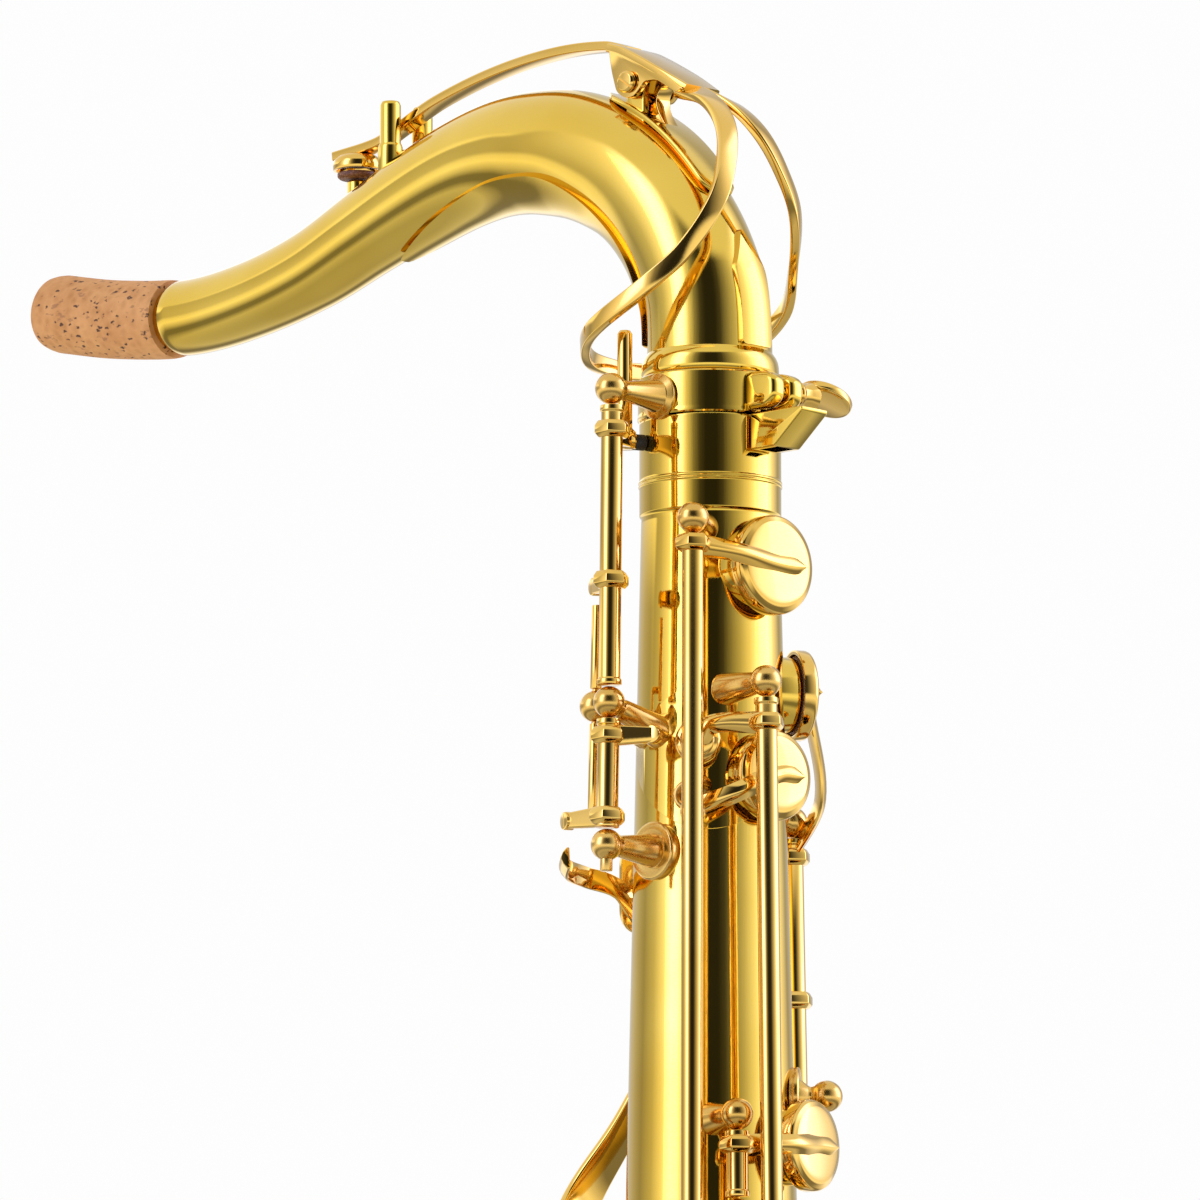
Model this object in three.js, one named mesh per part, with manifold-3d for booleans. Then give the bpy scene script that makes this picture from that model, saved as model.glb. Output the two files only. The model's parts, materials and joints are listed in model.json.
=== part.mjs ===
// A tenor saxophone: conical brass body, bow and bell, swivelling neck with its octave key,
// and the key work on rods between ball posts. Millimetres, +Z up along the body tube,
// +X towards the bell, +Y the player's left. The origin is the eye of the strap ring.

import * as THREE from 'three';
import { mergeVertices } from 'three/addons/utils/BufferGeometryUtils.js';
import Module from 'manifold-3d';

const wasm = await Module();
wasm.setup();

const degree = Math.PI / 180;
const fullTurn = 2 * Math.PI;

// Clearances
const clearance = 0.3;
const overrun = 2;
const solder = 0.6;

// Counts of facets
const tubeSides = 18;
const bellSides = 24;
const chimneySides = 8;
const cupSides = 12;
const rodSides = 6;
const hubSides = 6;
const postSides = 5;
const armSteps = 4;
const loopSteps = 22;
const bowSteps = 10;

// Body tube. A depth is measured down from the receiver rim, a reach out from the tube's axis.
const body = {
  topRadius: 14.6, topDepth: 29.3, bottomRadius: 27.6, bottomDepth: 600, wall: 1,
};
const receiver = { radius: 15, clampHeight: 9.4, beadRadius: 15.4, bandDepth: 22 };
const lug = { length: 8.6, thickness: 4, height: 8, gap: 1.6 };
const strapRing = {
  depth: 340, eyeReach: 31.4, eyeRadius: 3.9, wire: 2.2, foot: 5, footHeight: 16, footThickness: 1.2,
};

// Neck
const neck = {
  reach: 201, rise: 57, baseRadius: 13.3, corkedRadius: 7.2, wall: 0.9, tenonRadius: 12.9,
  tenonLength: 21, beadRadius: 14.6, beadHeight: 4.6,
};
const cork = { radius: 8.75, lengthShare: 0.172 };
const pipPlaceShares = { reach: 0.527, foot: 0.877, top: 1.007 };
const pip = {
  radius: 2.3, bore: 1, reach: neck.reach * pipPlaceShares.reach, foot: neck.rise * pipPlaceShares.foot,
  top: neck.rise * pipPlaceShares.top,
};
const neckCup = { radius: 5.3 };
const neckPad = { radius: 4.4, thickness: 1.6 };
const pivotPlaceShares = { reach: 0.0896, height: 1.158 };
const pivot = {
  reach: neck.reach * pivotPlaceShares.reach, height: neck.rise * pivotPlaceShares.height,
  radius: 1.4, blockWidth: 8.4, blockLength: 5.4, blockTop: 2.6, eyeRadius: 3.4,
};
const saddle = { width: 12.4, thickness: 2, earThickness: 1.5, headRadius: 2.4, headThickness: 1.2 };
const lever = { width: 4.4, thickness: 1.9 };
const loop = { width: 4, thickness: 2 };
const forkPlaceShares = { reach: 0.4627, foot: 0.982, top: 1.272 };
const fork = {
  reach: neck.reach * forkPlaceShares.reach, footHeight: neck.rise * forkPlaceShares.foot,
  top: neck.rise * forkPlaceShares.top, radius: 2.3, span: 9.8, footRadius: 4.9,
};

// Bow and bell
const bow = {
  span: 108, radius: 27.8, bellSideRadius: 37.5, wall: 1.1, drop: 6, evenShare: 0.1,
};
const bell = {
  rimRadius: 77.5, throatRadius: 37.5, wall: 1.2, rimDepth: 322, bottomDepth: 600,
  rimRoll: 1.7, leanShift: 15,
};
const ferrule = { wall: 1.6, length: 12, bodyLength: 10, bodyLift: 2, bellSlack: 1.2 };
const bowPlate = { width: 26, length: 110, thickness: 1.6 };

// Posts, rods and hubs
const ball = { radius: 3.35, slimRadius: 2.2 };
const stem = { footRadius: 3.3 };
const flange = { radius: 6.2, thickness: 1 };
const rod = { radius: 2.3, slimRadius: 1.7 };
const hub = { radius: 3.9, slimRadius: 3, height: 3.2 };
const arm = { width: 4.6, thickness: 1.9 };
const chimney = { lift: 2.2, wall: 1, inset: 1.6 };
const cup = { height: 3.4, edge: 0.9 };
const padding = { thickness: 1.4, rim: 0.9 };
const touch = { thickness: 2 };
const pearlSeat = { radius: 8.6, height: 2.2, stemRadius: 2.4 };
const pearlButton = { radius: 7.4, height: 2.2 };

const brass = { color: 0xd9a83c, roughness: 0.18, metalness: 1 };
const roseBrass = { color: 0xd99a4e, roughness: 0.22, metalness: 1 };
const corkFinish = { color: 0xcf9a68, roughness: 0.85, metalness: 0 };
const leather = { color: 0x6b3a1a, roughness: 0.7, metalness: 0 };
const pearl = { color: 0xf1ece0, roughness: 0.25, metalness: 0 };
const rubber = { color: 0x1c1a18, roughness: 0.7, metalness: 0 };

// Solid helpers

function solid(geometry) {
  const bare = geometry.clone();
  bare.deleteAttribute('normal');
  bare.deleteAttribute('uv');
  const merged = mergeVertices(bare, clearance / 1000);
  const mesh = new wasm.Mesh({
    numProp: 3,
    vertProperties: new Float32Array(merged.attributes.position.array),
    triVerts: new Uint32Array(merged.index.array),
  });
  mesh.merge();
  return new wasm.Manifold(mesh);
}

function geometryOf(manifold) {
  const mesh = manifold.getMesh();
  const geometry = new THREE.BufferGeometry();
  geometry.setAttribute('position', new THREE.BufferAttribute(mesh.vertProperties, 3));
  geometry.setIndex(new THREE.BufferAttribute(mesh.triVerts, 1));
  return geometry;
}

function join(solids) {
  return solids.reduce((sum, piece) => sum.add(piece));
}

// Places

function tubeRadius(depth) {
  const share = (depth - body.topDepth) / (body.bottomDepth - body.topDepth);
  return body.topRadius + (body.bottomRadius - body.topRadius) * Math.max(share, 0);
}

function radial(angle) {
  return new THREE.Vector3(Math.cos(angle * degree), Math.sin(angle * degree), 0);
}

function tangent(angle) {
  return new THREE.Vector3(-Math.sin(angle * degree), Math.cos(angle * degree), 0);
}

function at(angle, reach, depth) {
  const point = radial(angle).multiplyScalar(reach);
  point.z = -depth;
  return point;
}

function onTube(angle, lift, depth) {
  return at(angle, tubeRadius(depth) + lift, depth);
}

// Turns a geometry made along +Y so that its axis runs from one point towards another.
function aim(geometry, from, to) {
  const direction = to.clone().sub(from).normalize();
  const turn = new THREE.Quaternion().setFromUnitVectors(new THREE.Vector3(0, 1, 0), direction);
  geometry.applyQuaternion(turn);
  geometry.translate(from.x, from.y, from.z);
  return geometry;
}

function cone(from, to, fromRadius, toRadius, sides) {
  const length = from.distanceTo(to);
  const geometry = new THREE.CylinderGeometry(toRadius, fromRadius, length, sides);
  geometry.translate(0, length / 2, 0);
  return solid(aim(geometry, from, to));
}

function cylinder(from, to, radius, sides) {
  return cone(from, to, radius, radius, sides);
}

function turned(profile, from, to, sides) {
  const points = profile.map(([reach, height]) => new THREE.Vector2(reach, height));
  return solid(aim(new THREE.LatheGeometry(points, sides), from, to));
}

// A flat bar swept along a smooth curve; width runs along the curve's side, thickness through it.
function bar(points, width, thickness, steps) {
  const outline = new THREE.Shape();
  outline.moveTo(-width / 2, -thickness / 2);
  outline.lineTo(width / 2, -thickness / 2);
  outline.lineTo(width / 2, thickness / 2);
  outline.lineTo(-width / 2, thickness / 2);
  const path = new THREE.CatmullRomCurve3(points, false, 'centripetal');
  return solid(new THREE.ExtrudeGeometry(outline, { steps, bevelEnabled: false, extrudePath: path }));
}

// A round tube along a curve, with its radius given at each share of the curve's length.
function taperedTube(path, steps, radiusAt, sides) {
  const circle = new THREE.Shape();
  for (let side = 0; side < sides; side += 1) {
    const angle = (side / sides) * fullTurn;
    const corner = [Math.cos(angle), Math.sin(angle)];
    if (side === 0) circle.moveTo(...corner);
    else circle.lineTo(...corner);
  }
  const options = { steps, bevelEnabled: false, extrudePath: path };
  const geometry = new THREE.ExtrudeGeometry(circle, options);
  const centres = path.getSpacedPoints(steps);
  const position = geometry.attributes.position;
  const vertex = new THREE.Vector3();
  for (let index = 0; index < position.count; index += 1) {
    vertex.fromBufferAttribute(position, index);
    let nearest = 0;
    centres.forEach((centre, step) => {
      if (vertex.distanceTo(centre) < vertex.distanceTo(centres[nearest])) nearest = step;
    });
    const centre = centres[nearest];
    vertex.sub(centre).multiplyScalar(radiusAt(nearest / steps)).add(centre);
    position.setXYZ(index, vertex.x, vertex.y, vertex.z);
  }
  return solid(geometry);
}

// Nodes

const instrument = new THREE.Group();
const bodyFrame = new THREE.Group();
bodyFrame.position.set(strapRing.eyeReach, 0, strapRing.depth);
instrument.add(bodyFrame);

function node(name, manifold, finish, data = {}) {
  const mesh = new THREE.Mesh(geometryOf(manifold), new THREE.MeshStandardMaterial(finish));
  mesh.name = name;
  mesh.userData = { body: 'body', ...data };
  bodyFrame.add(mesh);
  return mesh;
}

// Turns a mesh about an axis through a point, as a key stands at rest.
function turnAbout(mesh, point, axis, angle) {
  const turn = new THREE.Quaternion().setFromAxisAngle(axis, angle * degree);
  mesh.position.copy(point).applyQuaternion(turn).negate().add(point);
  mesh.quaternion.copy(turn);
}

// Rod lines run beside the body tube at a steady lift above it, with a ball post at each stop.
const highFSharpLine = { angle: -54, lift: 13.3, stops: [34, 385] };
const highELine = { angle: -56, lift: 5.6, stops: [89, 372], slim: true };
const bodyOctaveLine = { angle: -23, lift: 13.4, stops: [68.3, 184], footAngle: -35 };
const palmFLine = { angle: 88, lift: 8, stops: [92, 165] };
const palmLine = { angle: 158, lift: 11, stops: [100, 127, 154], flanged: true };
const thumbLine = { angle: 172, lift: 5, stops: [109, 246], slim: true };
const octaveLine = { angle: -92, lift: 14.2, stops: [71.9, 102], footDrop: 5, flanged: true };
const rockerLine = { angle: -110, lift: 11.4, stops: [71.5], footDrop: 5 };
const upperLine = { angle: -35, lift: 9.2, stops: [159, 180, 206, 241, 285], footAngle: -45 };
const lowerLine = { angle: -36, lift: 10.4, stops: [311, 350, 391, 436, 484] };
const gSharpLine = { angle: 62, lift: 10, stops: [284, 318] };
const sideCLine = { angle: -140, lift: 9, stops: [194, 352] };
const sideBFlatLine = { angle: -116, lift: 9, stops: [222, 336] };
const littleFingerLine = { angle: -100, lift: 11, stops: [492, 541, 589] };
const lowBFlatLine = { angle: -66, lift: 23, stops: [300, 470] };
const lowBLine = { angle: -75, lift: 23, stops: [308, 528] };
const lowCSharpLine = { angle: -84, lift: 23, stops: [316, 584] };
const clampPost = { angle: -92, lift: 14.6, stops: [5.3] };
const bumperPost = { angle: 40, lift: 6.8, stops: [152.5], flanged: true };

const rodLines = [
  highFSharpLine, highELine, bodyOctaveLine, palmFLine, palmLine, thumbLine, octaveLine,
  rockerLine, upperLine, lowerLine, gSharpLine, sideCLine, sideBFlatLine, littleFingerLine,
  lowBFlatLine, lowBLine, lowCSharpLine, bumperPost,
];

// Tone holes of the body tube, each with its chimney and the radius of the cup that covers it.
const highFSharpHole = { angle: -3, depth: 41.8, cupRadius: 10.6 };
const palmFHole = { angle: 61, depth: 66.6, cupRadius: 9.6 };
const highEHole = { angle: -6, depth: 86.6, cupRadius: 9.6 };
const bodyOctaveHole = { angle: -54, depth: 80, cupRadius: 4.8, lift: 2.6 };
const palmEFlatHole = { angle: 120, depth: 112, cupRadius: 9.4 };
const palmDHole = { angle: 120, depth: 140, cupRadius: 10 };
const highCHole = { angle: 16, depth: 164, cupRadius: 9.6 };
const bHole = { angle: 14, depth: 191, cupRadius: 10.6 };
const aHole = { angle: 14, depth: 223, cupRadius: 12 };
const gHole = { angle: 14, depth: 260, cupRadius: 14 };
const gSharpHole = { angle: 12, depth: 297, cupRadius: 12.6 };
const fSharpHole = { angle: 14, depth: 330, cupRadius: 15.6 };
const fHole = { angle: 14, depth: 370, cupRadius: 17 };
const eHole = { angle: 14, depth: 413, cupRadius: 18.6 };
const dHole = { angle: 14, depth: 460, cupRadius: 20 };
const lowEFlatHole = { angle: -42, depth: 515, cupRadius: 18 };
const lowCHole = { angle: -42, depth: 565, cupRadius: 20 };
const sideCHole = { angle: -104, depth: 206, cupRadius: 8 };
const sideBFlatHole = { angle: -87, depth: 236, cupRadius: 8.6 };

const toneHoles = [
  highFSharpHole, palmFHole, highEHole, bodyOctaveHole, palmEFlatHole, palmDHole, highCHole,
  bHole, aHole, gHole, gSharpHole, fSharpHole, fHole, eHole, dHole, lowEFlatHole, lowCHole,
  sideCHole, sideBFlatHole,
];

// Tone holes of the bell, on the player's right.
const lowCSharpHole = { depth: 565, cupRadius: 21, onBell: true };
const lowBHole = { depth: 508, cupRadius: 23, onBell: true };
const lowBFlatHole = { depth: 452, cupRadius: 24, onBell: true };
const bellHoles = [lowCSharpHole, lowBHole, lowBFlatHole];

// Bell radii at shares of its height, from the bow up to the rim.
const bellFlareShares = [
  [0, 0.484], [0.4, 0.52], [0.62, 0.592], [0.78, 0.692], [0.88, 0.79], [0.95, 0.892], [1, 1],
];

function bellShare(depth) {
  return (bell.bottomDepth - depth) / (bell.bottomDepth - bell.rimDepth);
}

function shareOf(table, share) {
  const next = table.findIndex(([place]) => place >= share);
  if (next <= 0) return table[0][1];
  const [fromPlace, fromValue] = table[next - 1];
  const [toPlace, toValue] = table[next];
  return fromValue + ((toValue - fromValue) * (share - fromPlace)) / (toPlace - fromPlace);
}

function bellRadius(depth) {
  return bell.rimRadius * shareOf(bellFlareShares, bellShare(depth));
}

function bellCentre(depth) {
  return new THREE.Vector3(bow.span + bell.leanShift * bellShare(depth), 0, -depth);
}

// The seat of a tone hole: the centre of its chimney's rim, the way out and the body's surface.
function seatOf(hole) {
  const lift = hole.lift ?? chimney.lift;
  if (hole.onBell) {
    const out = new THREE.Vector3(0, -1, 0);
    const centre = bellCentre(hole.depth);
    const inside = centre.clone().addScaledVector(out, bellRadius(hole.depth) / 2);
    return { out, inside, centre: centre.addScaledVector(out, bellRadius(hole.depth) + lift) };
  }
  const centre = at(hole.angle, tubeRadius(hole.depth) + lift, hole.depth);
  return { out: radial(hole.angle), inside: at(hole.angle, body.wall, hole.depth), centre };
}

function chimneyWall(hole) {
  const { inside, centre } = seatOf(hole);
  return cylinder(inside, centre, hole.cupRadius - chimney.inset, chimneySides);
}

function chimneyBore(hole) {
  const { inside, centre, out } = seatOf(hole);
  const end = centre.clone().addScaledVector(out, overrun);
  return cylinder(inside, end, hole.cupRadius - chimney.inset - chimney.wall, chimneySides);
}

// A post: ball, conical stem and, where it is on show, a foot flange soldered to the tube.
const ballShares = [[0.75, -0.62], [1, 0.1], [0.7, 0.78], [0, 1]];

function post(line, depth) {
  const first = depth === line.stops[0];
  const footAngle = first ? (line.footAngle ?? line.angle) : line.angle;
  const footDepth = first ? depth + (line.footDrop ?? 0) : depth;
  const centre = onTube(line.angle, line.lift, depth);
  const foot = onTube(footAngle, -solder, footDepth);
  const height = foot.distanceTo(centre);
  const radius = line.slim ? ball.slimRadius : ball.radius;
  const profile = [[0, 0]];
  if (line.flanged && footDepth === depth) {
    const top = solder + flange.thickness;
    profile.push([flange.radius, 0], [flange.radius, top], [stem.footRadius, top]);
  } else {
    profile.push([stem.footRadius, 0]);
  }
  ballShares.forEach(([across, up]) => profile.push([radius * across, height + radius * up]));
  return turned(profile, foot, centre, postSides);
}

// The strap ring: an eye on a foot plate at the back of the body.
function strapRingSolid() {
  const outer = strapRing.eyeRadius + strapRing.wire;
  const centre = new THREE.Vector3(-strapRing.eyeReach, 0, -strapRing.depth);
  const side = new THREE.Vector3(0, strapRing.wire / 2, 0);
  const disc = cylinder(centre.clone().sub(side), centre.clone().add(side), outer, cupSides);
  const surface = tubeRadius(strapRing.depth) + 2 * clearance;
  const plate = new THREE.BoxGeometry(strapRing.footThickness, 2 * strapRing.foot, strapRing.footHeight);
  plate.translate(-surface - strapRing.footThickness / 2, 0, -strapRing.depth);
  const bridgeLength = strapRing.eyeReach - surface - strapRing.eyeRadius;
  const bridge = new THREE.BoxGeometry(bridgeLength, strapRing.wire, 2 * strapRing.foot);
  bridge.translate(-surface - bridgeLength / 2, 0, -strapRing.depth);
  const through = new THREE.Vector3(0, strapRing.wire + overrun, 0);
  const eye = cylinder(
    centre.clone().sub(through), centre.clone().add(through), strapRing.eyeRadius, cupSides,
  );
  return join([disc, solid(plate), solid(bridge)]).subtract(eye);
}

function bodyTube() {
  const top = at(0, 0, receiver.clampHeight);
  const foot = at(0, 0, body.bottomDepth);
  const sleeve = body.topDepth - receiver.clampHeight;
  const length = body.bottomDepth - receiver.clampHeight;
  const outside = turned([
    [0, 0], [receiver.radius, 0], [receiver.radius, sleeve],
    [body.topRadius, sleeve], [body.bottomRadius, length], [0, length],
  ], top, foot, tubeSides);
  const posts = rodLines.flatMap((line) => line.stops.map((depth) => post(line, depth)));
  const whole = join([outside, ...toneHoles.map(chimneyWall), ...posts]);
  const shoulder = receiver.bandDepth - receiver.clampHeight;
  const tenonBore = neck.tenonRadius + clearance;
  const bore = turned([
    [0, 0], [tenonBore, 0], [tenonBore, overrun + shoulder],
    [body.topRadius - body.wall, overrun + sleeve],
    [body.bottomRadius - body.wall, overrun + length],
    [body.bottomRadius - body.wall, length + 2 * overrun], [0, length + 2 * overrun],
  ], at(0, 0, receiver.clampHeight - overrun), foot, tubeSides);
  const hollow = whole.subtract(bore);
  return toneHoles.reduce((sum, hole) => sum.subtract(chimneyBore(hole)), hollow);
}

// The receiver clamp: a slotted sleeve on top of the body, with two lugs for its screw.
function receiverClamp() {
  const height = receiver.clampHeight - clearance;
  const outside = cylinder(at(0, 0, 0), at(0, 0, height), receiver.beadRadius, tubeSides);
  const middle = -receiver.clampHeight / 2;
  const lugs = [-1, 1].map((side) => {
    const block = new THREE.BoxGeometry(lug.length, lug.thickness, lug.height);
    const centre = receiver.beadRadius + lug.length / 2 - 2 * solder;
    block.translate(centre, (side * (lug.gap + lug.thickness)) / 2, middle);
    return solid(block);
  });
  const slot = new THREE.BoxGeometry(lug.length, lug.gap, 2 * receiver.clampHeight);
  slot.translate(receiver.beadRadius, 0, middle);
  const across = new THREE.Vector3(0, lug.length, 0);
  const screwCentre = new THREE.Vector3(clampScrew.reach, 0, middle);
  const screwHole = cylinder(
    screwCentre.clone().setY(-clampScrew.nearEnd - clearance), screwCentre.clone().add(across),
    clampScrew.radius + clearance, rodSides,
  );
  const inside = cylinder(
    at(0, 0, -overrun), at(0, 0, receiver.clampHeight + overrun),
    neck.tenonRadius + clearance, tubeSides,
  );
  const topPost = post(clampPost, clampPost.stops[0]);
  return join([outside, ...lugs, topPost]).subtract(inside).subtract(solid(slot)).subtract(screwHole);
}

// The clamp screw draws the two lugs together. Its thumb paddle is a disc that leans outwards.
const clampScrew = {
  reach: 19.6, nearEnd: 3.9, collarEnd: 9.5, radius: 1.7, collarRadius: 2.6, discReach: 14.4,
  discRadius: 6, discThickness: 2, discLean: 27,
};

function clampScrewSolid() {
  const axis = new THREE.Vector3(clampScrew.reach, 0, -receiver.clampHeight / 2);
  const along = (distance) => axis.clone().setY(distance);
  const lugSide = lug.gap / 2 + lug.thickness + clearance;
  const lean = clampScrew.discLean * degree;
  const normal = new THREE.Vector3(0, Math.sin(lean), Math.cos(lean));
  const half = normal.clone().multiplyScalar(clampScrew.discThickness / 2);
  const centre = along(clampScrew.discReach);
  return join([
    cylinder(along(-clampScrew.nearEnd), along(clampScrew.collarEnd), clampScrew.radius, rodSides),
    cylinder(along(lugSide), along(clampScrew.collarEnd), clampScrew.collarRadius, hubSides),
    cylinder(centre.clone().sub(half), centre.clone().add(half), clampScrew.discRadius, cupSides),
  ]);
}

// The lyre socket: a wedge-shaped holder under the clamp lugs, with a square hole.
const lyreSocket = {
  length: 15, width: 8, height: 7.8, hole: 5.2, holeReach: 3.9, taper: 6.8, lip: 1,
};

function lyreSocketSolid() {
  const side = new THREE.Shape();
  side.moveTo(0, 0);
  side.lineTo(lyreSocket.length, 0);
  side.lineTo(lyreSocket.length, -lyreSocket.lip);
  side.lineTo(lyreSocket.taper, -lyreSocket.height);
  side.lineTo(0, -lyreSocket.height);
  const block = new THREE.ExtrudeGeometry(side, { depth: lyreSocket.width, bevelEnabled: false });
  block.rotateX(Math.PI / 2);
  const reach = receiver.radius + clearance;
  block.translate(reach, lyreSocket.width / 2, -receiver.clampHeight);
  const hole = new THREE.BoxGeometry(lyreSocket.hole, lyreSocket.hole, 4 * lyreSocket.height);
  hole.translate(reach + lyreSocket.holeReach, 0, -receiver.clampHeight);
  return solid(block).subtract(solid(hole));
}

// The neck's centreline in the instrument's middle plane, as shares of its reach and rise.
const neckCentreShares = [
  [0, 0.02], [-0.0025, 0.263], [-0.011, 0.379], [-0.037, 0.56], [-0.075, 0.724], [-0.118, 0.84],
  [-0.184, 0.947], [-0.249, 0.993], [-0.305, 0.998], [-0.364, 0.965], [-0.431, 0.896],
  [-0.51, 0.797], [-0.592, 0.693], [-0.69, 0.619], [-0.786, 0.593], [-0.9, 0.635], [-1, 0.705],
];
const neckTaperShares = [
  [0, 1], [0.14, 0.98], [0.3, 0.99], [0.36, 0.94], [0.42, 0.87], [0.5, 0.79], [0.6, 0.7],
  [0.7, 0.645], [0.8, 0.63], [1, 0.62],
];
const neckPath = new THREE.CatmullRomCurve3(neckCentreShares.map(([along, up]) => (
  new THREE.Vector3(along * neck.reach, 0, up * neck.rise)
)));
const neckSteps = 13;
const neckSides = 14;
const boreSides = 10;
const corkSteps = 3;

function neckRadius(share) {
  return neck.baseRadius * shareOf(neckTaperShares, share);
}

// A stretch of the neck's centreline, carried on straight past its ends by the given length.
function neckStretch(fromShare, toShare, extra) {
  const points = [];
  for (let step = 0; step <= neckSteps; step += 1) {
    points.push(neckPath.getPointAt(fromShare + ((toShare - fromShare) * step) / neckSteps));
  }
  if (extra > 0) {
    points.unshift(points[0].clone().addScaledVector(neckPath.getTangentAt(fromShare), -extra));
    points.push(points.at(-1).clone().addScaledVector(neckPath.getTangentAt(toShare), extra));
  }
  return new THREE.CatmullRomCurve3(points);
}

function neckShell(fromShare, toShare, growth, sides, steps) {
  const span = toShare - fromShare;
  const radiusAt = (share) => neckRadius(fromShare + span * share) + growth;
  return taperedTube(neckStretch(fromShare, toShare, 0), steps, radiusAt, sides);
}

const corkShare = 1 - cork.lengthShare;
const corkGapShare = 0.003;
const pivotAxis = new THREE.Vector3(0, 1, 0);

function neckTube() {
  const shell = neckShell(0, corkShare, 0, neckSides, neckSteps);
  const corked = taperedTube(
    neckStretch(corkShare - cork.lengthShare / 2, 1, 0), 2 * corkSteps, () => neck.corkedRadius, boreSides,
  );
  const tenon = turned([
    [0, 0], [neck.tenonRadius, 0], [neck.tenonRadius, neck.tenonLength],
    [neck.beadRadius, neck.tenonLength + clearance],
    [neck.beadRadius, neck.tenonLength + neck.beadHeight / 2],
    [neck.baseRadius, neck.tenonLength + neck.beadHeight], [0, neck.tenonLength + neck.beadHeight],
  ], at(0, 0, neck.tenonLength), at(0, 0, 0), tubeSides);
  const pipWall = cylinder(
    new THREE.Vector3(-pip.reach, 0, pip.foot), new THREE.Vector3(-pip.reach, 0, pip.top),
    pip.radius, rodSides,
  );
  const whole = join([shell, corked, tenon, pipWall, forkPost(), pivotBlock()]);
  const narrowing = (share) => Math.max(corkShare - cork.lengthShare / 3 - share, 0) * 2;
  const boreAt = (share) => Math.min(
    neckRadius(share), neck.corkedRadius + neck.baseRadius * narrowing(share),
  ) - neck.wall;
  const bore = taperedTube(neckStretch(0, 1, overrun), neckSteps, boreAt, boreSides);
  const tenonBore = cylinder(
    at(0, 0, neck.tenonLength + overrun), at(0, 0, -neck.beadHeight),
    neck.baseRadius - 2 * neck.wall, boreSides,
  );
  const pipBore = cylinder(
    new THREE.Vector3(-pip.reach, 0, pip.foot - 2 * neck.wall),
    new THREE.Vector3(-pip.reach, 0, pip.top + overrun), pip.bore, rodSides,
  );
  return whole.subtract(bore).subtract(tenonBore).subtract(pipBore);
}

// The guide fork that keeps the octave lever in line: two prongs on a hexagonal foot.
function forkPost() {
  const foot = new THREE.Vector3(-fork.reach, 0, fork.footHeight);
  const crown = new THREE.Vector3(-fork.reach, 0, forkFloor());
  const pieces = [cylinder(foot, crown, fork.footRadius, hubSides)];
  for (const side of [-1, 1]) {
    const base = new THREE.Vector3(-fork.reach, (side * fork.span) / 2, fork.footHeight);
    const tip = new THREE.Vector3(-fork.reach, (side * fork.span) / 2, fork.top);
    pieces.push(cylinder(base, tip, fork.radius, rodSides));
  }
  return join(pieces);
}

function forkFloor() {
  return leverHeight(-fork.reach) - lever.thickness - 2 * clearance;
}

// The block on the crest of the neck that carries the octave key's pivot screw.
function pivotBlock() {
  const block = new THREE.BoxGeometry(pivot.blockLength, pivot.blockWidth, pivot.height);
  block.translate(-pivot.reach, 0, pivot.height / 2 + neck.rise * pivotFootShare);
  const top = new THREE.BoxGeometry(pivot.blockLength, pivot.blockWidth, pivot.height);
  top.translate(-pivot.reach, 0, pivot.height + pivot.blockTop + pivot.height / 2);
  const across = new THREE.Vector3(0, pivot.blockWidth, 0);
  const centre = new THREE.Vector3(-pivot.reach, 0, pivot.height);
  const eye = cylinder(
    centre.clone().sub(across), centre.clone().add(across), pivot.radius + clearance, rodSides,
  );
  return solid(block).subtract(solid(top)).subtract(eye);
}
const pivotFootShare = 0.88;
const earShare = 1.8;

function pivotScrew() {
  const reach = saddle.width / 2 + clearance;
  const near = new THREE.Vector3(-pivot.reach, -reach - saddle.headThickness, pivot.height);
  const head = new THREE.Vector3(-pivot.reach, -reach, pivot.height);
  const far = new THREE.Vector3(-pivot.reach, reach, pivot.height);
  return join([
    cylinder(near, far, pivot.radius, rodSides), cylinder(near, head, saddle.headRadius, rodSides),
  ]);
}

function neckCork() {
  const path = neckStretch(corkShare + corkGapShare, 1, 0);
  const outer = taperedTube(path, corkSteps, () => cork.radius, neckSides);
  const inner = taperedTube(neckStretch(corkShare, 1, overrun), corkSteps,
    () => neck.corkedRadius + clearance, neckSides);
  const backStretch = neckStretch(corkShare - cork.lengthShare, corkShare + corkGapShare, 0);
  const backCut = taperedTube(backStretch, corkSteps,
    () => cork.radius * 2, neckSides);
  return outer.subtract(inner).subtract(backCut);
}

// The stiffening strip under the bend, and the pointed plate on the front of the neck's foot.
// Both are thin shells that hug the tube, cut to an outline.
const strip = { thickness: 1 };
const stripEdgeShares = [
  [-0.454, 0.66], [-0.371, 0.777], [-0.303, 0.842], [-0.251, 0.854], [-0.194, 0.828],
  [-0.144, 0.737], [-0.1, 0.6], [-0.073, 0.472], [-0.06, 0.347], [-0.06, 0.14],
];
const plateEdgeShares = [[-0.33, 0.1], [-0.33, 0.4], [0, 0.56], [0.33, 0.4], [0.33, 0.1]];

function hugging(outline, turn) {
  const outer = neckShell(0, corkShare, clearance + strip.thickness, neckSides, neckSteps);
  const inner = neckShell(0, corkShare, clearance, neckSides, neckSteps);
  const options = { depth: 4 * neck.baseRadius, bevelEnabled: false };
  const cutter = new THREE.ExtrudeGeometry(outline, options);
  turn(cutter);
  return outer.subtract(inner).intersect(solid(cutter));
}

function neckStrip() {
  const outline = new THREE.Shape();
  const corner = [stripEdgeShares[0][0] * neck.reach, stripEdgeShares.at(-1)[1] * neck.rise];
  outline.moveTo(...corner);
  stripEdgeShares.forEach(([along, up]) => outline.lineTo(along * neck.reach, up * neck.rise));
  return hugging(outline, (cutter) => {
    cutter.rotateX(Math.PI / 2);
    cutter.translate(0, 2 * neck.baseRadius, 0);
  });
}

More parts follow.
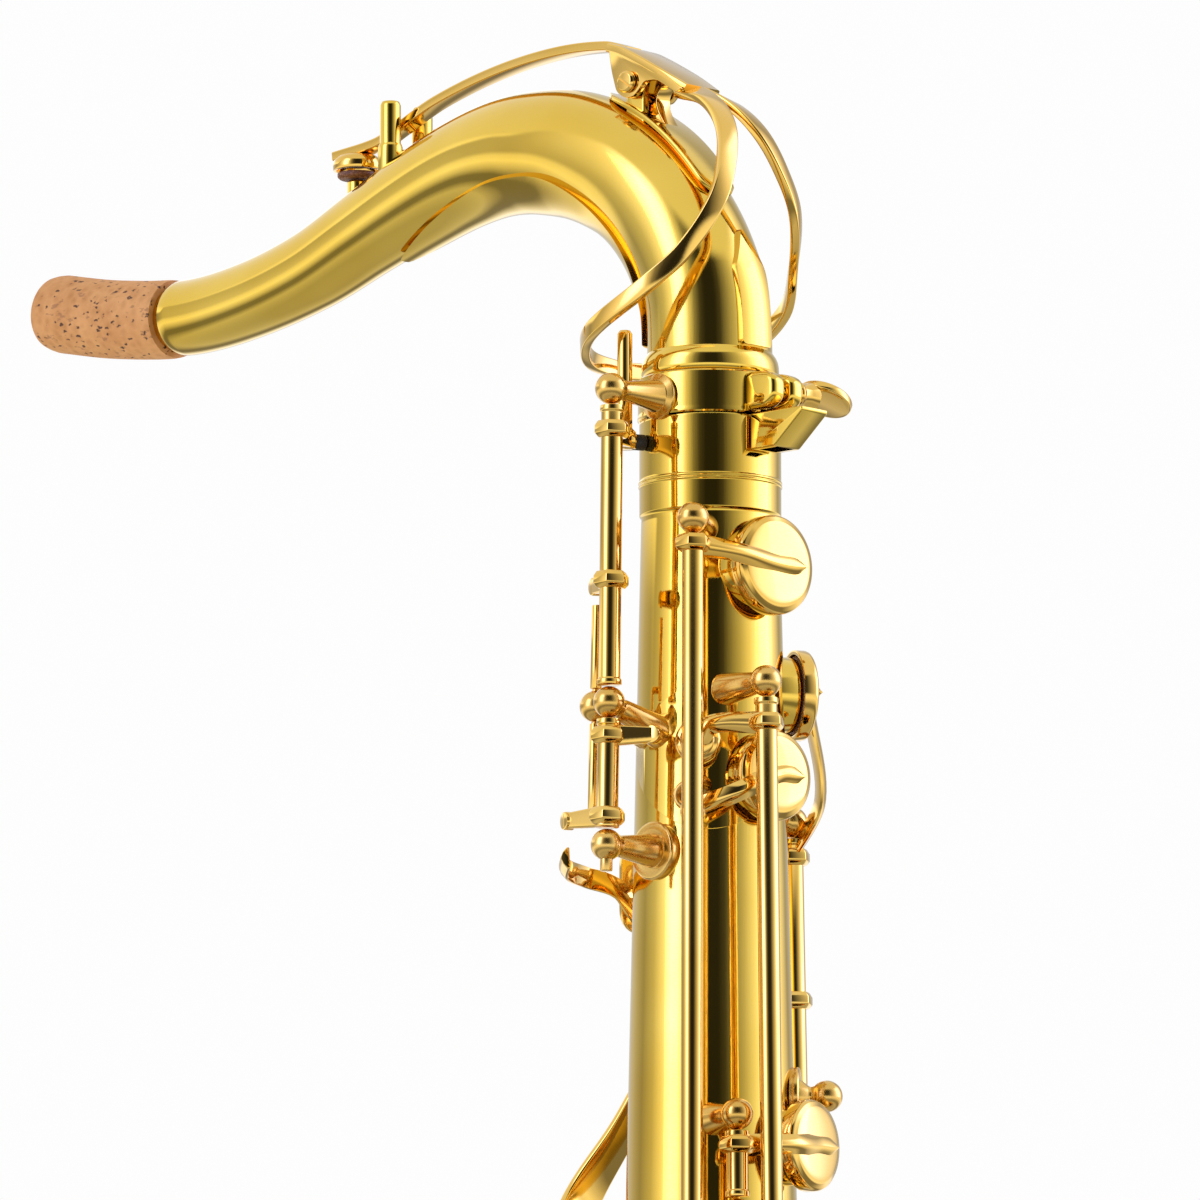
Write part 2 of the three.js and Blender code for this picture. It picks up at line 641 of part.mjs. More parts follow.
function neckPlate() {
  const outline = new THREE.Shape();
  plateEdgeShares.forEach(([across, up], index) => {
    const corner = [across * neck.baseRadius, up * neck.rise];
    if (index === 0) outline.moveTo(...corner);
    else outline.lineTo(...corner);
  });
  return hugging(outline, (cutter) => {
    cutter.rotateX(Math.PI / 2);
    cutter.rotateZ(Math.PI / 2);
  });
}

// The neck octave key: pad lever, saddle over the pivot and a loop round the neck's foot.
const leverShares = [
  [-0.556, 1.112], [-0.492, 1.135], [-0.462, 1.172], [-0.401, 1.253], [-0.31, 1.323],
  [-0.221, 1.351], [-0.146, 1.337], [-0.112, 1.3],
];
const saddleShares = [[-0.122, 1.308], [-0.1, 1.28], [-0.05, 1.183], [-0.012, 1.1]];
const loopShares = [
  [-0.02, -0.01, 1.09], [0.04, -0.02, 0.98], [0.062, -0.034, 0.812], [0.067, -0.06, 0.625],
  [0.041, -0.084, 0.43], [0.006, -0.107, 0.302], [-0.058, -0.112, 0.184],
  [-0.094, -0.092, 0.139], [-0.12, -0.056, 0.105], [-0.131, 0, 0.093],
];

function leverHeight(reach) {
  const table = leverShares.map(([along, up]) => [along * neck.reach, up * neck.rise]);
  return shareOf(table, reach);
}

function neckOctaveKey() {
  const inPlane = ([along, up]) => new THREE.Vector3(along * neck.reach, 0, up * neck.rise);
  const pieces = [bar(leverShares.map(inPlane), lever.width, lever.thickness, 10)];
  pieces.push(bar(saddleShares.map(inPlane), saddle.width, saddle.thickness, 5));
  const side = loopShares.map(([along, across, up]) => (
    new THREE.Vector3(along * neck.reach, across * neck.reach, up * neck.rise)));
  const mirrored = side.slice(0, -1).reverse().map((point) => (
    new THREE.Vector3(point.x, -point.y, point.z)));
  pieces.push(bar([...side, ...mirrored], loop.width, loop.thickness, loopSteps));
  for (const direction of [-1, 1]) {
    const outside = (direction * saddle.width) / 2;
    const inside = outside - direction * saddle.earThickness;
    const from = new THREE.Vector3(-pivot.reach, inside, pivot.height);
    const to = new THREE.Vector3(-pivot.reach, outside, pivot.height);
    pieces.push(cylinder(from, to, pivot.eyeRadius, cupSides));
    const web = new THREE.BoxGeometry(pivot.eyeRadius * 2, saddle.earThickness, pivot.eyeRadius * earShare);
    web.translate(-pivot.reach, (inside + outside) / 2, pivot.height + (pivot.eyeRadius * earShare) / 2);
    pieces.push(solid(web));
  }
  const cupTop = new THREE.Vector3(-pip.reach, 0, leverHeight(-pip.reach));
  const cupFoot = new THREE.Vector3(-pip.reach, 0, neckPadTop() + clearance);
  pieces.push(cylinder(cupFoot, cupTop, neckCup.radius, cupSides));
  const across = new THREE.Vector3(0, saddle.width, 0);
  const centre = new THREE.Vector3(-pivot.reach, 0, pivot.height);
  const eye = cylinder(
    centre.clone().sub(across), centre.clone().add(across), pivot.radius + clearance, rodSides,
  );
  return join(pieces).subtract(eye);
}

function neckPadTop() {
  return pip.top + clearance + neckPad.thickness;
}

function neckOctavePad() {
  return cylinder(
    new THREE.Vector3(-pip.reach, 0, pip.top + clearance),
    new THREE.Vector3(-pip.reach, 0, neckPadTop()), neckPad.radius, cupSides,
  );
}

// Key work. A key is one solid: its rod, hubs, cup arm, cup, touch arm and touch.

function linePoint(line, depth) {
  return onTube(line.angle, line.lift, depth);
}

// A rod between two depths of its line, clear of the balls there, with a hub at each given depth.
function rodPiece(line, fromDepth, toDepth, hubDepths) {
  const reachPast = (line.slim ? ball.slimRadius : ball.radius) + clearance;
  const from = linePoint(line, fromDepth + reachPast);
  const to = linePoint(line, toDepth - reachPast);
  const radius = line.slim ? rod.slimRadius : rod.radius;
  const hubRadius = line.slim ? hub.slimRadius : hub.radius;
  const profile = [[0, 0], [radius, 0]];
  hubDepths.toSorted((one, other) => one - other).forEach((depth) => {
    const low = depth - hub.height / 2 - fromDepth - reachPast;
    const high = low + hub.height;
    profile.push([radius, low], [hubRadius, low], [hubRadius, high], [radius, high]);
  });
  const length = from.distanceTo(to);
  profile.push([radius, length], [0, length]);
  return turned(profile, from, to, rodSides);
}

function cupPiece(hole, padded) {
  const { centre, out } = seatOf(hole);
  const foot = centre.clone().addScaledVector(out, clearance);
  const far = foot.clone().add(out);
  const { cupRadius } = hole;
  const top = [[cupRadius, cup.height - cup.edge], [cupRadius - cup.edge, cup.height], [0, cup.height]];
  const recess = padding.thickness + clearance;
  const rim = cupRadius - padding.rim;
  const profile = padded
    ? [[0, recess], [rim, recess], [rim, 0], [cupRadius, 0], ...top]
    : [[0, 0], [cupRadius, 0], ...top];
  return turned(profile, foot, far, cupSides);
}

function padPiece(hole) {
  const { centre, out } = seatOf(hole);
  const foot = centre.clone().addScaledVector(out, clearance);
  const top = foot.clone().addScaledVector(out, padding.thickness);
  return cylinder(foot, top, hole.cupRadius - padding.rim - clearance, cupSides);
}

// The arm from the rod over the cup's edge and across its face.
function cupArm(hinge, hole, via) {
  const { centre, out } = seatOf(hole);
  const level = centre.clone().addScaledVector(out, clearance + cup.height + arm.thickness / 4);
  const side = hinge.clone().sub(centre);
  side.z = 0;
  side.addScaledVector(out, -side.dot(out)).normalize();
  const knee = level.clone().addScaledVector(side, hole.cupRadius * armKneeShare);
  knee.z = via ? level.z : (hinge.z + level.z) / 2;
  const tip = level.clone().addScaledVector(side, -hole.cupRadius * armTipShare);
  const points = via ? [hinge, via, level, tip] : [hinge, knee, level, tip];
  return bar(points, arm.width, arm.thickness, armSteps);
}
const armKneeShare = 1.06;
const armTipShare = 0.66;

// A touch arm runs round the tube from the rod to its touch, which is a rounded plate.
const touchArmShares = [[0.3, 0.48], [0.6, 0.96], [0.85, 1]];

function touchArm(line, fromDepth, place) {
  const points = [linePoint(line, fromDepth)];
  touchArmShares.forEach(([share, rise]) => points.push(onTube(
    line.angle + (place.angle - line.angle) * share,
    line.lift + (place.lift - line.lift) * rise,
    fromDepth + (place.depth - fromDepth) * share,
  )));
  points.push(onTube(place.angle, place.lift, place.depth));
  return bar(points, place.armWidth ?? arm.width, arm.thickness, armSteps);
}

function touchPlate(place) {
  const half = place.width / 2;
  const run = place.length / 2;
  const outline = new THREE.Shape();
  outline.moveTo(-half, -run + half);
  outline.absarc(0, -run + half, half, Math.PI, fullTurn, false);
  outline.absarc(0, run - half, half, 0, Math.PI, false);
  const options = { depth: touch.thickness, bevelEnabled: false, curveSegments: 3 };
  const plate = new THREE.ExtrudeGeometry(outline, options);
  plate.translate(0, 0, -touch.thickness / 2);
  const basis = new THREE.Matrix4().makeBasis(
    tangent(place.angle), new THREE.Vector3(0, 0, 1), radial(place.angle),
  );
  plate.applyMatrix4(basis);
  const centre = onTube(place.angle, place.lift, place.depth);
  plate.translate(centre.x, centre.y, centre.z);
  return solid(plate);
}

// A key's swing: the axis turns so that a positive angle is a press of the player's finger.
function swingOf(line, hole, standsOpen, travel, depths) {
  const point = linePoint(line, depths[0]);
  const axis = linePoint(line, depths[1]).sub(point).normalize();
  const { centre, out } = seatOf(hole);
  const rises = axis.clone().cross(centre.clone().sub(point)).dot(out) > 0;
  if (rises === standsOpen) axis.negate();
  return { point, axis, travel, standsOpen };
}

function addKey(name, spec) {
  const { line, span, hole, hubDepth, travel, standsOpen = false, padded = false } = spec;
  const depths = [line.stops[span[0]], line.stops[span[1]]];
  const hubDepths = spec.place ? [hubDepth, spec.touchDepth] : [hubDepth];
  const pieces = [rodPiece(line, depths[0], depths[1], hubDepths)];
  const via = spec.via ? onTube(spec.via.angle, spec.via.lift, spec.via.depth) : null;
  pieces.push(cupArm(linePoint(line, hubDepth), hole, via), cupPiece(hole, padded));
  if (spec.place) {
    pieces.push(touchArm(line, spec.touchDepth, spec.place), touchPlate(spec.place));
  }
  if (spec.pearl) pieces.push(pearlSeatPiece(spec.pearl, hole));
  const swing = swingOf(line, hole, standsOpen, travel, depths);
  const data = { body: name, swing };
  const meshes = [node(name, join(pieces), roseBrass, data)];
  if (padded) meshes.push(node(`${name}_pad`, padPiece(hole), leather, { body: name }));
  if (spec.pearl) meshes.push(node(`${name}_pearl`, pearlPiece(spec.pearl, hole), pearl, { body: name }));
  if (standsOpen) meshes.forEach((mesh) => turnAbout(mesh, swing.point, swing.axis, -travel));
  return meshes;
}

// The seat of a finger pearl stands on the key's arm.
function pearlFrame(place, hole) {
  const { centre, out } = seatOf(hole);
  const base = centre.clone().addScaledVector(out, clearance + cup.height);
  const shift = tangent(hole.angle).multiplyScalar(-hole.cupRadius * place.sideShare);
  const foot = base.clone().add(shift);
  foot.z -= place.drop;
  return { foot, out };
}

function pearlSeatPiece(place, hole) {
  const { foot, out } = pearlFrame(place, hole);
  const seat = foot.clone().addScaledVector(out, place.rise);
  const top = seat.clone().addScaledVector(out, pearlSeat.height);
  return join([
    cylinder(foot.clone().addScaledVector(out, -solder), seat, pearlSeat.stemRadius, hubSides),
    cylinder(seat.clone().addScaledVector(out, -solder), top, pearlSeat.radius, cupSides),
  ]);
}

function pearlPiece(place, hole) {
  const { foot, out } = pearlFrame(place, hole);
  const low = foot.clone().addScaledVector(out, place.rise + pearlSeat.height + clearance);
  const high = low.clone().addScaledVector(out, pearlButton.height);
  return cylinder(low, high, pearlButton.radius, cupSides);
}

const bodyOctaveHubDepth = 77;
const bodyOctaveVia = { angle: -46, lift: 8.2, depth: 77 };

// The keys: where each hub sits on its rod, how far the key turns, and where its touch lies.
const pearlPlace = { sideShare: 0.1, drop: 0, rise: 6 };
const lowerPearlPlace = { sideShare: 0.7, drop: 0, rise: 6 };
const highFSharpKey = {
  line: highFSharpLine, span: [0, 1], hole: highFSharpHole, hubDepth: 39.4, travel: 7, padded: true,
  touchDepth: 374, place: { angle: -112, lift: 17, depth: 372, width: 11, length: 20 },
};
const highEKey = {
  line: highELine, span: [0, 1], hole: highEHole, hubDepth: 95, travel: 8, padded: true,
  touchDepth: 362, place: { angle: -84, lift: 15, depth: 350, width: 10, length: 20 },
};
const palmFKey = {
  line: palmFLine, span: [0, 1], hole: palmFHole, hubDepth: 99.5, travel: 5, padded: true,
  via: { angle: 69, lift: 10, depth: 88 },
  touchDepth: 130, place: { angle: 156, lift: 20, depth: 104, width: 12, length: 20 },
};
const palmEFlatKey = {
  line: palmLine, span: [0, 1], hole: palmEFlatHole, hubDepth: 112, travel: 6,
  touchDepth: 119, place: { angle: 150, lift: 20, depth: 126, width: 12, length: 18 },
};
const palmDKey = {
  line: palmLine, span: [1, 2], hole: palmDHole, hubDepth: 140, travel: 6,
  touchDepth: 143, place: { angle: 189, lift: 22, depth: 188, width: 15, length: 30, armWidth: 11 },
};
const highCKey = {
  line: upperLine, span: [0, 1], hole: highCHole, hubDepth: 165.5, travel: 5, standsOpen: true,
  padded: true,
};
const bKey = {
  line: upperLine, span: [1, 2], hole: bHole, hubDepth: 191, travel: 6, standsOpen: true,
  pearl: pearlPlace,
};
const aKey = {
  line: upperLine, span: [2, 3], hole: aHole, hubDepth: 223, travel: 6, standsOpen: true,
  pearl: pearlPlace,
};
const gKey = {
  line: upperLine, span: [3, 4], hole: gHole, hubDepth: 260, travel: 6, standsOpen: true,
  pearl: pearlPlace,
};
const gSharpKey = {
  line: gSharpLine, span: [0, 1], hole: gSharpHole, hubDepth: 297, travel: 7,
  touchDepth: 309, place: { angle: 92, lift: 18, depth: 312, width: 14, length: 20 },
};
const fSharpKey = {
  line: lowerLine, span: [0, 1], hole: fSharpHole, hubDepth: 330, travel: 5, standsOpen: true,
};
const fKey = {
  line: lowerLine, span: [1, 2], hole: fHole, hubDepth: 370, travel: 5, standsOpen: true,
  pearl: lowerPearlPlace,
};
const eKey = {
  line: lowerLine, span: [2, 3], hole: eHole, hubDepth: 413, travel: 5, standsOpen: true,
  pearl: lowerPearlPlace,
};
const dKey = {
  line: lowerLine, span: [3, 4], hole: dHole, hubDepth: 460, travel: 5, standsOpen: true,
  pearl: lowerPearlPlace,
};
const sideCKey = {
  line: sideCLine, span: [0, 1], hole: sideCHole, hubDepth: 206, travel: 7,
  touchDepth: 340, place: { angle: -160, lift: 17, depth: 328, width: 10, length: 22 },
};
const sideBFlatKey = {
  line: sideBFlatLine, span: [0, 1], hole: sideBFlatHole, hubDepth: 236, travel: 7,
  touchDepth: 326, place: { angle: -134, lift: 18, depth: 314, width: 10, length: 22 },
};
const lowEFlatKey = {
  line: littleFingerLine, span: [0, 1], hole: lowEFlatHole, hubDepth: 515, travel: 6,
  touchDepth: 504, place: { angle: -124, lift: 18, depth: 500, width: 14, length: 20 },
};
const lowCKey = {
  line: littleFingerLine, span: [1, 2], hole: lowCHole, hubDepth: 565, travel: 5, standsOpen: true,
};
const lowBFlatKey = {
  line: lowBFlatLine, span: [0, 1], hole: lowBFlatHole, hubDepth: 456, travel: 3, standsOpen: true,
  touchDepth: 309, place: { angle: -44, lift: 26, depth: 305, width: 10, length: 16 },
};
const lowBKey = {
  line: lowBLine, span: [0, 1], hole: lowBHole, hubDepth: 512, travel: 3, standsOpen: true,
};
const lowCSharpKey = {
  line: lowCSharpLine, span: [0, 1], hole: lowCSharpHole, hubDepth: 565, travel: 3,
};
const bodyOctaveKey = {
  line: bodyOctaveLine, span: [0, 1], hole: bodyOctaveHole, hubDepth: bodyOctaveHubDepth, travel: 5,
  via: bodyOctaveVia,
};

// The octave mechanism under the receiver.

const pinLever = {
  collarDepth: 14, tailDepth: 46, pinAngle: -114, pinReach: 19.5, pinRadius: 1.6, pinTop: -9.4,
  pinFoot: 16, tailAngle: -112, tailLift: 11.5,
};

function octavePinLever() {
  const collar = linePoint(octaveLine, pinLever.collarDepth);
  const pinFoot = at(pinLever.pinAngle, pinLever.pinReach, pinLever.pinFoot);
  const pinTop = at(pinLever.pinAngle, pinLever.pinReach, pinLever.pinTop);
  const pinArm = at(pinLever.pinAngle, pinLever.pinReach, pinLever.collarDepth);
  const tailFrom = linePoint(octaveLine, pinLever.tailDepth);
  const tailTo = onTube(pinLever.tailAngle, pinLever.tailLift, pinLever.tailDepth);
  return join([
    rodPiece(octaveLine, clampPost.stops[0], octaveLine.stops[0],
      [pinLever.collarDepth, pinLever.tailDepth]),
    bar([collar, pinArm], arm.width, arm.thickness, 1),
    cylinder(pinFoot, pinTop, pinLever.pinRadius, rodSides),
    bar([tailFrom, tailTo], arm.width, arm.thickness, 1),
  ]);
}

const transferShares = { arm: 0.236, collar: 0.8 };
const transferLever = {
  armAngle: -69, armLift: 8, tailAngle: -112, tailLift: 17,
};

function octaveTransferLever() {
  const [top, foot] = octaveLine.stops;
  const armDepth = top + (foot - top) * transferShares.arm;
  const collarDepth = top + (foot - top) * transferShares.collar;
  const arms = [
    [linePoint(octaveLine, armDepth),
      onTube(transferLever.armAngle, transferLever.armLift, armDepth)],
    [linePoint(octaveLine, collarDepth),
      onTube(transferLever.tailAngle, transferLever.tailLift, collarDepth)],
  ];
  return join([
    rodPiece(octaveLine, top, foot, [armDepth, collarDepth]),
    ...arms.map((ends) => bar(ends, arm.width, arm.thickness, 1)),
  ]);
}

const rocker = { topDepth: 50, footDepth: 93.5, radius: 1.2, strapDrop: 6, strapReach: 5.6, strapAngle: 134 };

function octaveRocker() {
  const [post0] = rockerLine.stops;
  const reachPast = ball.radius + clearance;
  const aside = radial(rocker.strapAngle).multiplyScalar(rocker.strapReach);
  const upper = linePoint(rockerLine, post0 - rocker.strapDrop);
  const lower = linePoint(rockerLine, post0 + rocker.strapDrop);
  const strapTop = upper.clone().add(aside);
  const strapFoot = lower.clone().add(aside);
  const thin = rod.slimRadius;
  return join([
    cylinder(linePoint(rockerLine, rocker.topDepth), linePoint(rockerLine, post0 - reachPast),
      rocker.radius, rodSides),
    cylinder(linePoint(rockerLine, post0 + reachPast), linePoint(rockerLine, rocker.footDepth),
      rocker.radius, rodSides),
    cylinder(upper, strapTop.clone().addScaledVector(aside, solder / rocker.strapReach), thin / 2, rodSides),
    cylinder(lower, strapFoot.clone().addScaledVector(aside, solder / rocker.strapReach), thin / 2, rodSides),
    cylinder(strapTop, strapFoot, thin / 2, rodSides),
  ]);
}

const thumbTouch = { angle: 195, lift: 7.5, depth: 236, width: 13, length: 17 };
const thumbTail = [
  { angle: 179, lift: 7.4, depth: 110.5 }, { angle: 188, lift: 8.6, depth: 106.4 },
  { angle: 205, lift: 12, depth: 104.8 },
  { angle: 226, lift: 14.5, depth: 104.4 }, { angle: 240, lift: 15.5, depth: 103 },
];

function octaveThumbKey() {
  const [top, foot] = thumbLine.stops;
  const tailDepth = top + 2 * hub.height;
  const touchDepth = foot - 3 * hub.height;
  const tail = [linePoint(thumbLine, tailDepth),
    ...thumbTail.map((place) => onTube(place.angle, place.lift, place.depth))];
  return join([
    rodPiece(thumbLine, top, foot, [tailDepth, touchDepth]),
    bar(tail, arm.width, arm.thickness, armSteps),
    bar([linePoint(thumbLine, touchDepth), onTube(thumbTouch.angle, thumbTouch.lift, touchDepth)],
      arm.width, arm.thickness, 1),
    touchPlate(thumbTouch),
  ]);
}


// Bow, bell and the ferrules that join them.

function bowPath() {
  const start = body.bottomDepth + clearance;
  const turnDepth = body.bottomDepth + bow.drop;
  const centre = new THREE.Vector3(bow.span / 2, 0, -turnDepth);
  const points = [];
  for (let step = 0; step <= bowSteps; step += 1) {
    const share = step / bowSteps;
    const angle = Math.PI * (1 + share);
    points.push(new THREE.Vector3(
      centre.x * (1 + Math.cos(angle)), 0, centre.z + centre.x * Math.sin(angle),
    ));
  }
  points.unshift(new THREE.Vector3(points[0].x, 0, -start));
  points.push(new THREE.Vector3(points.at(-1).x, 0, bow.drop / 2 - turnDepth));
  return points;
}

function bowRadius(share) {
  const growth = (share - bow.evenShare) / (1 - 2 * bow.evenShare);
  return bow.radius + (bow.bellSideRadius - bow.radius) * Math.min(Math.max(growth, 0), 1);
}

function bowShell(growth, sides) {
  const path = new THREE.CatmullRomCurve3(bowPath());
  return taperedTube(path, bowSteps, (share) => bowRadius(share) + growth, sides);
}

function bowSolid() {
  const points = bowPath();
  points[0].z += overrun;
  points.at(-1).z += overrun;
  const path = new THREE.CatmullRomCurve3(points);
  const bore = taperedTube(path, bowSteps, (share) => bowRadius(share) - bow.wall, tubeSides);
  return bowShell(0, tubeSides).subtract(bore);
}

function bandSolid(top, foot, innerRadius) {
  const height = top.distanceTo(foot);
  const outerRadius = innerRadius + ferrule.wall;
  return turned([
    [innerRadius, 0], [outerRadius, 0], [outerRadius, height], [innerRadius, height], [innerRadius, 0],
  ], foot, top, bellSides);
}

function bellSolid() {
  const foot = bellCentre(bell.bottomDepth);
  const top = bellCentre(bell.rimDepth);
  const length = foot.distanceTo(top);
  const outer = bellFlareShares.map(([up, across]) => [bell.rimRadius * across, length * up]);
  const roll = [
    [bell.rimRadius + bell.rimRoll / 2, length - bell.rimRoll / 2],
    [bell.rimRadius + bell.rimRoll / 2, length + bell.rimRoll / 2],
    [bell.rimRadius, length + bell.rimRoll],
    [bell.rimRadius - bell.rimRoll, length + bell.rimRoll],
  ];
  const skin = turned([[0, 0], ...outer.slice(0, -1), ...roll, [0, length + bell.rimRoll]],
    foot, top, bellSides);
  const inner = outer.map(([across, up]) => [across - bell.wall, up]);
  const inside = turned([
    [0, -overrun], [inner[0][0], -overrun], ...inner.slice(0, -1),
    [bell.rimRadius - bell.rimRoll - clearance, length],
    [bell.rimRadius - bell.rimRoll, length + 2 * bell.rimRoll], [0, length + 2 * bell.rimRoll],
  ], foot, top, bellSides);
  const whole = join([skin, ...bellHoles.map(chimneyWall)]).subtract(inside);
  return bellHoles.reduce((sum, hole) => sum.subtract(chimneyBore(hole)), whole);
}

// The plate soldered under the bow, a shell that hugs it.
function bowGuard() {
  const outer = bowShell(clearance + bowPlate.thickness, tubeSides);
  const inner = bowShell(clearance, tubeSides);
  const block = new THREE.BoxGeometry(bowPlate.length, bowPlate.width, bow.bellSideRadius);
  const floor = body.bottomDepth + bow.drop + bow.span / 2 + bow.bellSideRadius;
  block.translate(bow.span / 2, 0, -floor);
  return outer.subtract(inner).intersect(solid(block));
}

// The brace between body and bell: two feet, a bar and a ring.
const brace = { depth: 391, side: 30, angle: 66, radius: 2.6, footRadius: 8, footThickness: 1.6 };

function bellBrace() {
  const centre = bellCentre(brace.depth);
  const along = Math.sqrt(bellRadius(brace.depth) ** 2 - brace.side ** 2);
  const bellEnd = new THREE.Vector3(centre.x - along, brace.side, centre.z);
  const bodyFoot = onTube(brace.angle, clearance, brace.depth);
  const bodyPad = onTube(brace.angle, clearance + brace.footThickness, brace.depth);
  const corner = new THREE.Vector3(
    brace.side * Math.cos(brace.angle * degree) + brace.footRadius / 2, brace.side, centre.z,
  );
  const inward = centre.clone().sub(bellEnd).normalize();
  const bellFoot = bellEnd.clone().addScaledVector(inward, -clearance);
  const bellPad = bellFoot.clone().addScaledVector(inward, -brace.footThickness);
  const middle = corner.clone().lerp(bellPad, 1 / 2);
  const up = new THREE.Vector3(0, brace.radius, 0);
  const ring = turned([
    [brace.footRadius, 0], [brace.footRadius + brace.radius, 0],
    [brace.footRadius + brace.radius, 2 * brace.radius], [brace.footRadius, 2 * brace.radius],
    [brace.footRadius, 0],
  ], middle.clone().sub(up), middle.clone().add(up), cupSides);
  const gap = cylinder(
    middle.clone().sub(up.clone().multiplyScalar(2)), middle.clone().add(up.clone().multiplyScalar(2)),
    brace.footRadius, cupSides,
  );
  return join([
    cylinder(bodyFoot, bodyPad, brace.footRadius / 2, rodSides),
    cylinder(bodyPad, corner, brace.radius, rodSides), cylinder(corner, bellPad, brace.radius, rodSides),
    cylinder(bellPad, bellFoot, brace.footRadius / 2, rodSides),
  ]).subtract(gap).add(ring);
}

// A flat strap from one point to another, with its broad side facing outwards.
function plank(from, to, out, width, thickness) {
  const along = to.clone().sub(from);
  const geometry = new THREE.BoxGeometry(width, along.length(), thickness);
  const run = along.clone().normalize();
  const side = run.clone().cross(out).normalize();
  geometry.applyMatrix4(new THREE.Matrix4().makeBasis(side, run, side.clone().cross(run)));
  const middle = from.clone().lerp(to, 1 / 2);
  geometry.translate(middle.x, middle.y, middle.z);
  return solid(geometry);
}

// A strap bridge over cups: feet stand on the tube and the strap spans them in straight runs.
const guard = { width: 8, thickness: 1.6, footRadius: 3.6, peg: 2 };

function strapBridge({ feet, lift, straight }, surfaceAt) {
  const pieces = [];
  const over = feet.map((depth) => surfaceAt(lift, depth));
  const out = over[0].clone().sub(surfaceAt(0, feet[0])).normalize();
  feet.forEach((depth, index) => {
    const foot = surfaceAt(2 * clearance, depth);
    const top = surfaceAt(2 * clearance + flange.thickness, depth);
    pieces.push(cylinder(foot, top, guard.footRadius, hubSides));
    pieces.push(cylinder(foot, over[index], guard.peg, rodSides));
  });
  over[0].z += guard.width / 2;
  over.at(-1).z -= guard.width / 2;
  const bends = straight ? [over[0], over.at(-1)] : over;
  for (let index = 1; index < bends.length; index += 1) {
    const [from, to] = [bends[index - 1].clone(), bends[index].clone()];
    const along = to.clone().sub(from).normalize().multiplyScalar(guard.thickness / 2);
    if (index > 1) from.sub(along);
    pieces.push(plank(from, to, out, guard.width, guard.thickness));
  }
  return join(pieces);
}

const lowGuard = { feet: [491, 539.5, 588], lift: 14.6, straight: true };
const bellGuard = { feet: [423, 480.5, 537.5, 589.5], lift: 17, straight: false };

function onBell(lift, depth) {
  const point = bellCentre(depth);
  point.y = -bellRadius(depth) - lift;
  return point;
}

// The rest for the left thumb and the hook for the right thumb.
const thumbRestPlace = { angle: 190, depth: 260, radius: 9, height: 4 };
const hook = { angle: 182, depth: 425, width: 11, thickness: 2.4, plateHeight: 34 };
const hookShares = [[-0.08, 0.4], [0.5, 0.35], [0.85, 0], [0.9, -0.5], [0.8, -0.9]];

function thumbRestSolid() {
  const foot = onTube(thumbRestPlace.angle, clearance, thumbRestPlace.depth);
  const top = onTube(thumbRestPlace.angle, clearance + thumbRestPlace.height, thumbRestPlace.depth);
  return turned([
    [0, 0], [thumbRestPlace.radius, 0], [thumbRestPlace.radius, thumbRestPlace.height / 2],
    [thumbRestPlace.radius / 2, thumbRestPlace.height], [0, thumbRestPlace.height],
  ], foot, top, cupSides);
}

function thumbHookSolid() {
  const points = hookShares.map(([outward, up]) => (
    onTube(hook.angle, 2 * hook.thickness + outward * hook.plateHeight,
      hook.depth - up * hook.plateHeight / 2)));
  const plate = new THREE.BoxGeometry(hook.thickness, hook.width, hook.plateHeight);
  const centre = onTube(hook.angle, 3 * clearance + hook.thickness / 2, hook.depth);
  plate.rotateZ(hook.angle * degree);
  plate.translate(centre.x, centre.y, centre.z);
  return join([bar(points, hook.width, hook.thickness, armSteps), solid(plate)]);
}

node('body_tube', bodyTube(), brass);
node('strap_ring', strapRingSolid(), roseBrass);
node('receiver_clamp', receiverClamp(), brass);
node('clamp_screw', clampScrewSolid(), roseBrass);
node('lyre_socket', lyreSocketSolid(), brass);

node('neck_tube', neckTube(), brass, {
  body: 'neck',
  swing: { point: new THREE.Vector3(), axis: new THREE.Vector3(0, 0, 1), range: [-10, 10] },
});
node('neck_cork', neckCork(), corkFinish, { body: 'neck' });
node('neck_brace', neckStrip(), brass, { body: 'neck' });
node('neck_shield', neckPlate(), brass, { body: 'neck' });
node('neck_pivot_screw', pivotScrew(), roseBrass, { body: 'neck' });
node('neck_octave_key', neckOctaveKey(), roseBrass, {
  body: 'neck_octave_key',
  swing: { point: new THREE.Vector3(-pivot.reach, 0, pivot.height), axis: pivotAxis, travel: 1.6 },
});
node('neck_octave_pad', neckOctavePad(), leather, { body: 'neck_octave_key' });

addKey('high_f_sharp_key', highFSharpKey);
addKey('high_e_key', highEKey);
addKey('palm_f_key', palmFKey);
addKey('palm_e_flat_key', palmEFlatKey);
addKey('palm_d_key', palmDKey);
addKey('high_c_key', highCKey);
addKey('b_key', bKey);
addKey('a_key', aKey);
addKey('g_key', gKey);
addKey('g_sharp_key', gSharpKey);
addKey('f_sharp_key', fSharpKey);
addKey('f_key', fKey);
addKey('e_key', eKey);
addKey('d_key', dKey);
addKey('side_c_key', sideCKey);
addKey('side_b_flat_key', sideBFlatKey);
addKey('low_e_flat_key', lowEFlatKey);
addKey('low_c_key', lowCKey);
addKey('low_b_flat_key', lowBFlatKey);
addKey('low_b_key', lowBKey);
addKey('low_c_sharp_key', lowCSharpKey);

const octaveSwing = (line, from, to, travel) => ({
  point: linePoint(line, from), axis: linePoint(line, to).sub(linePoint(line, from)).normalize(), travel,
});

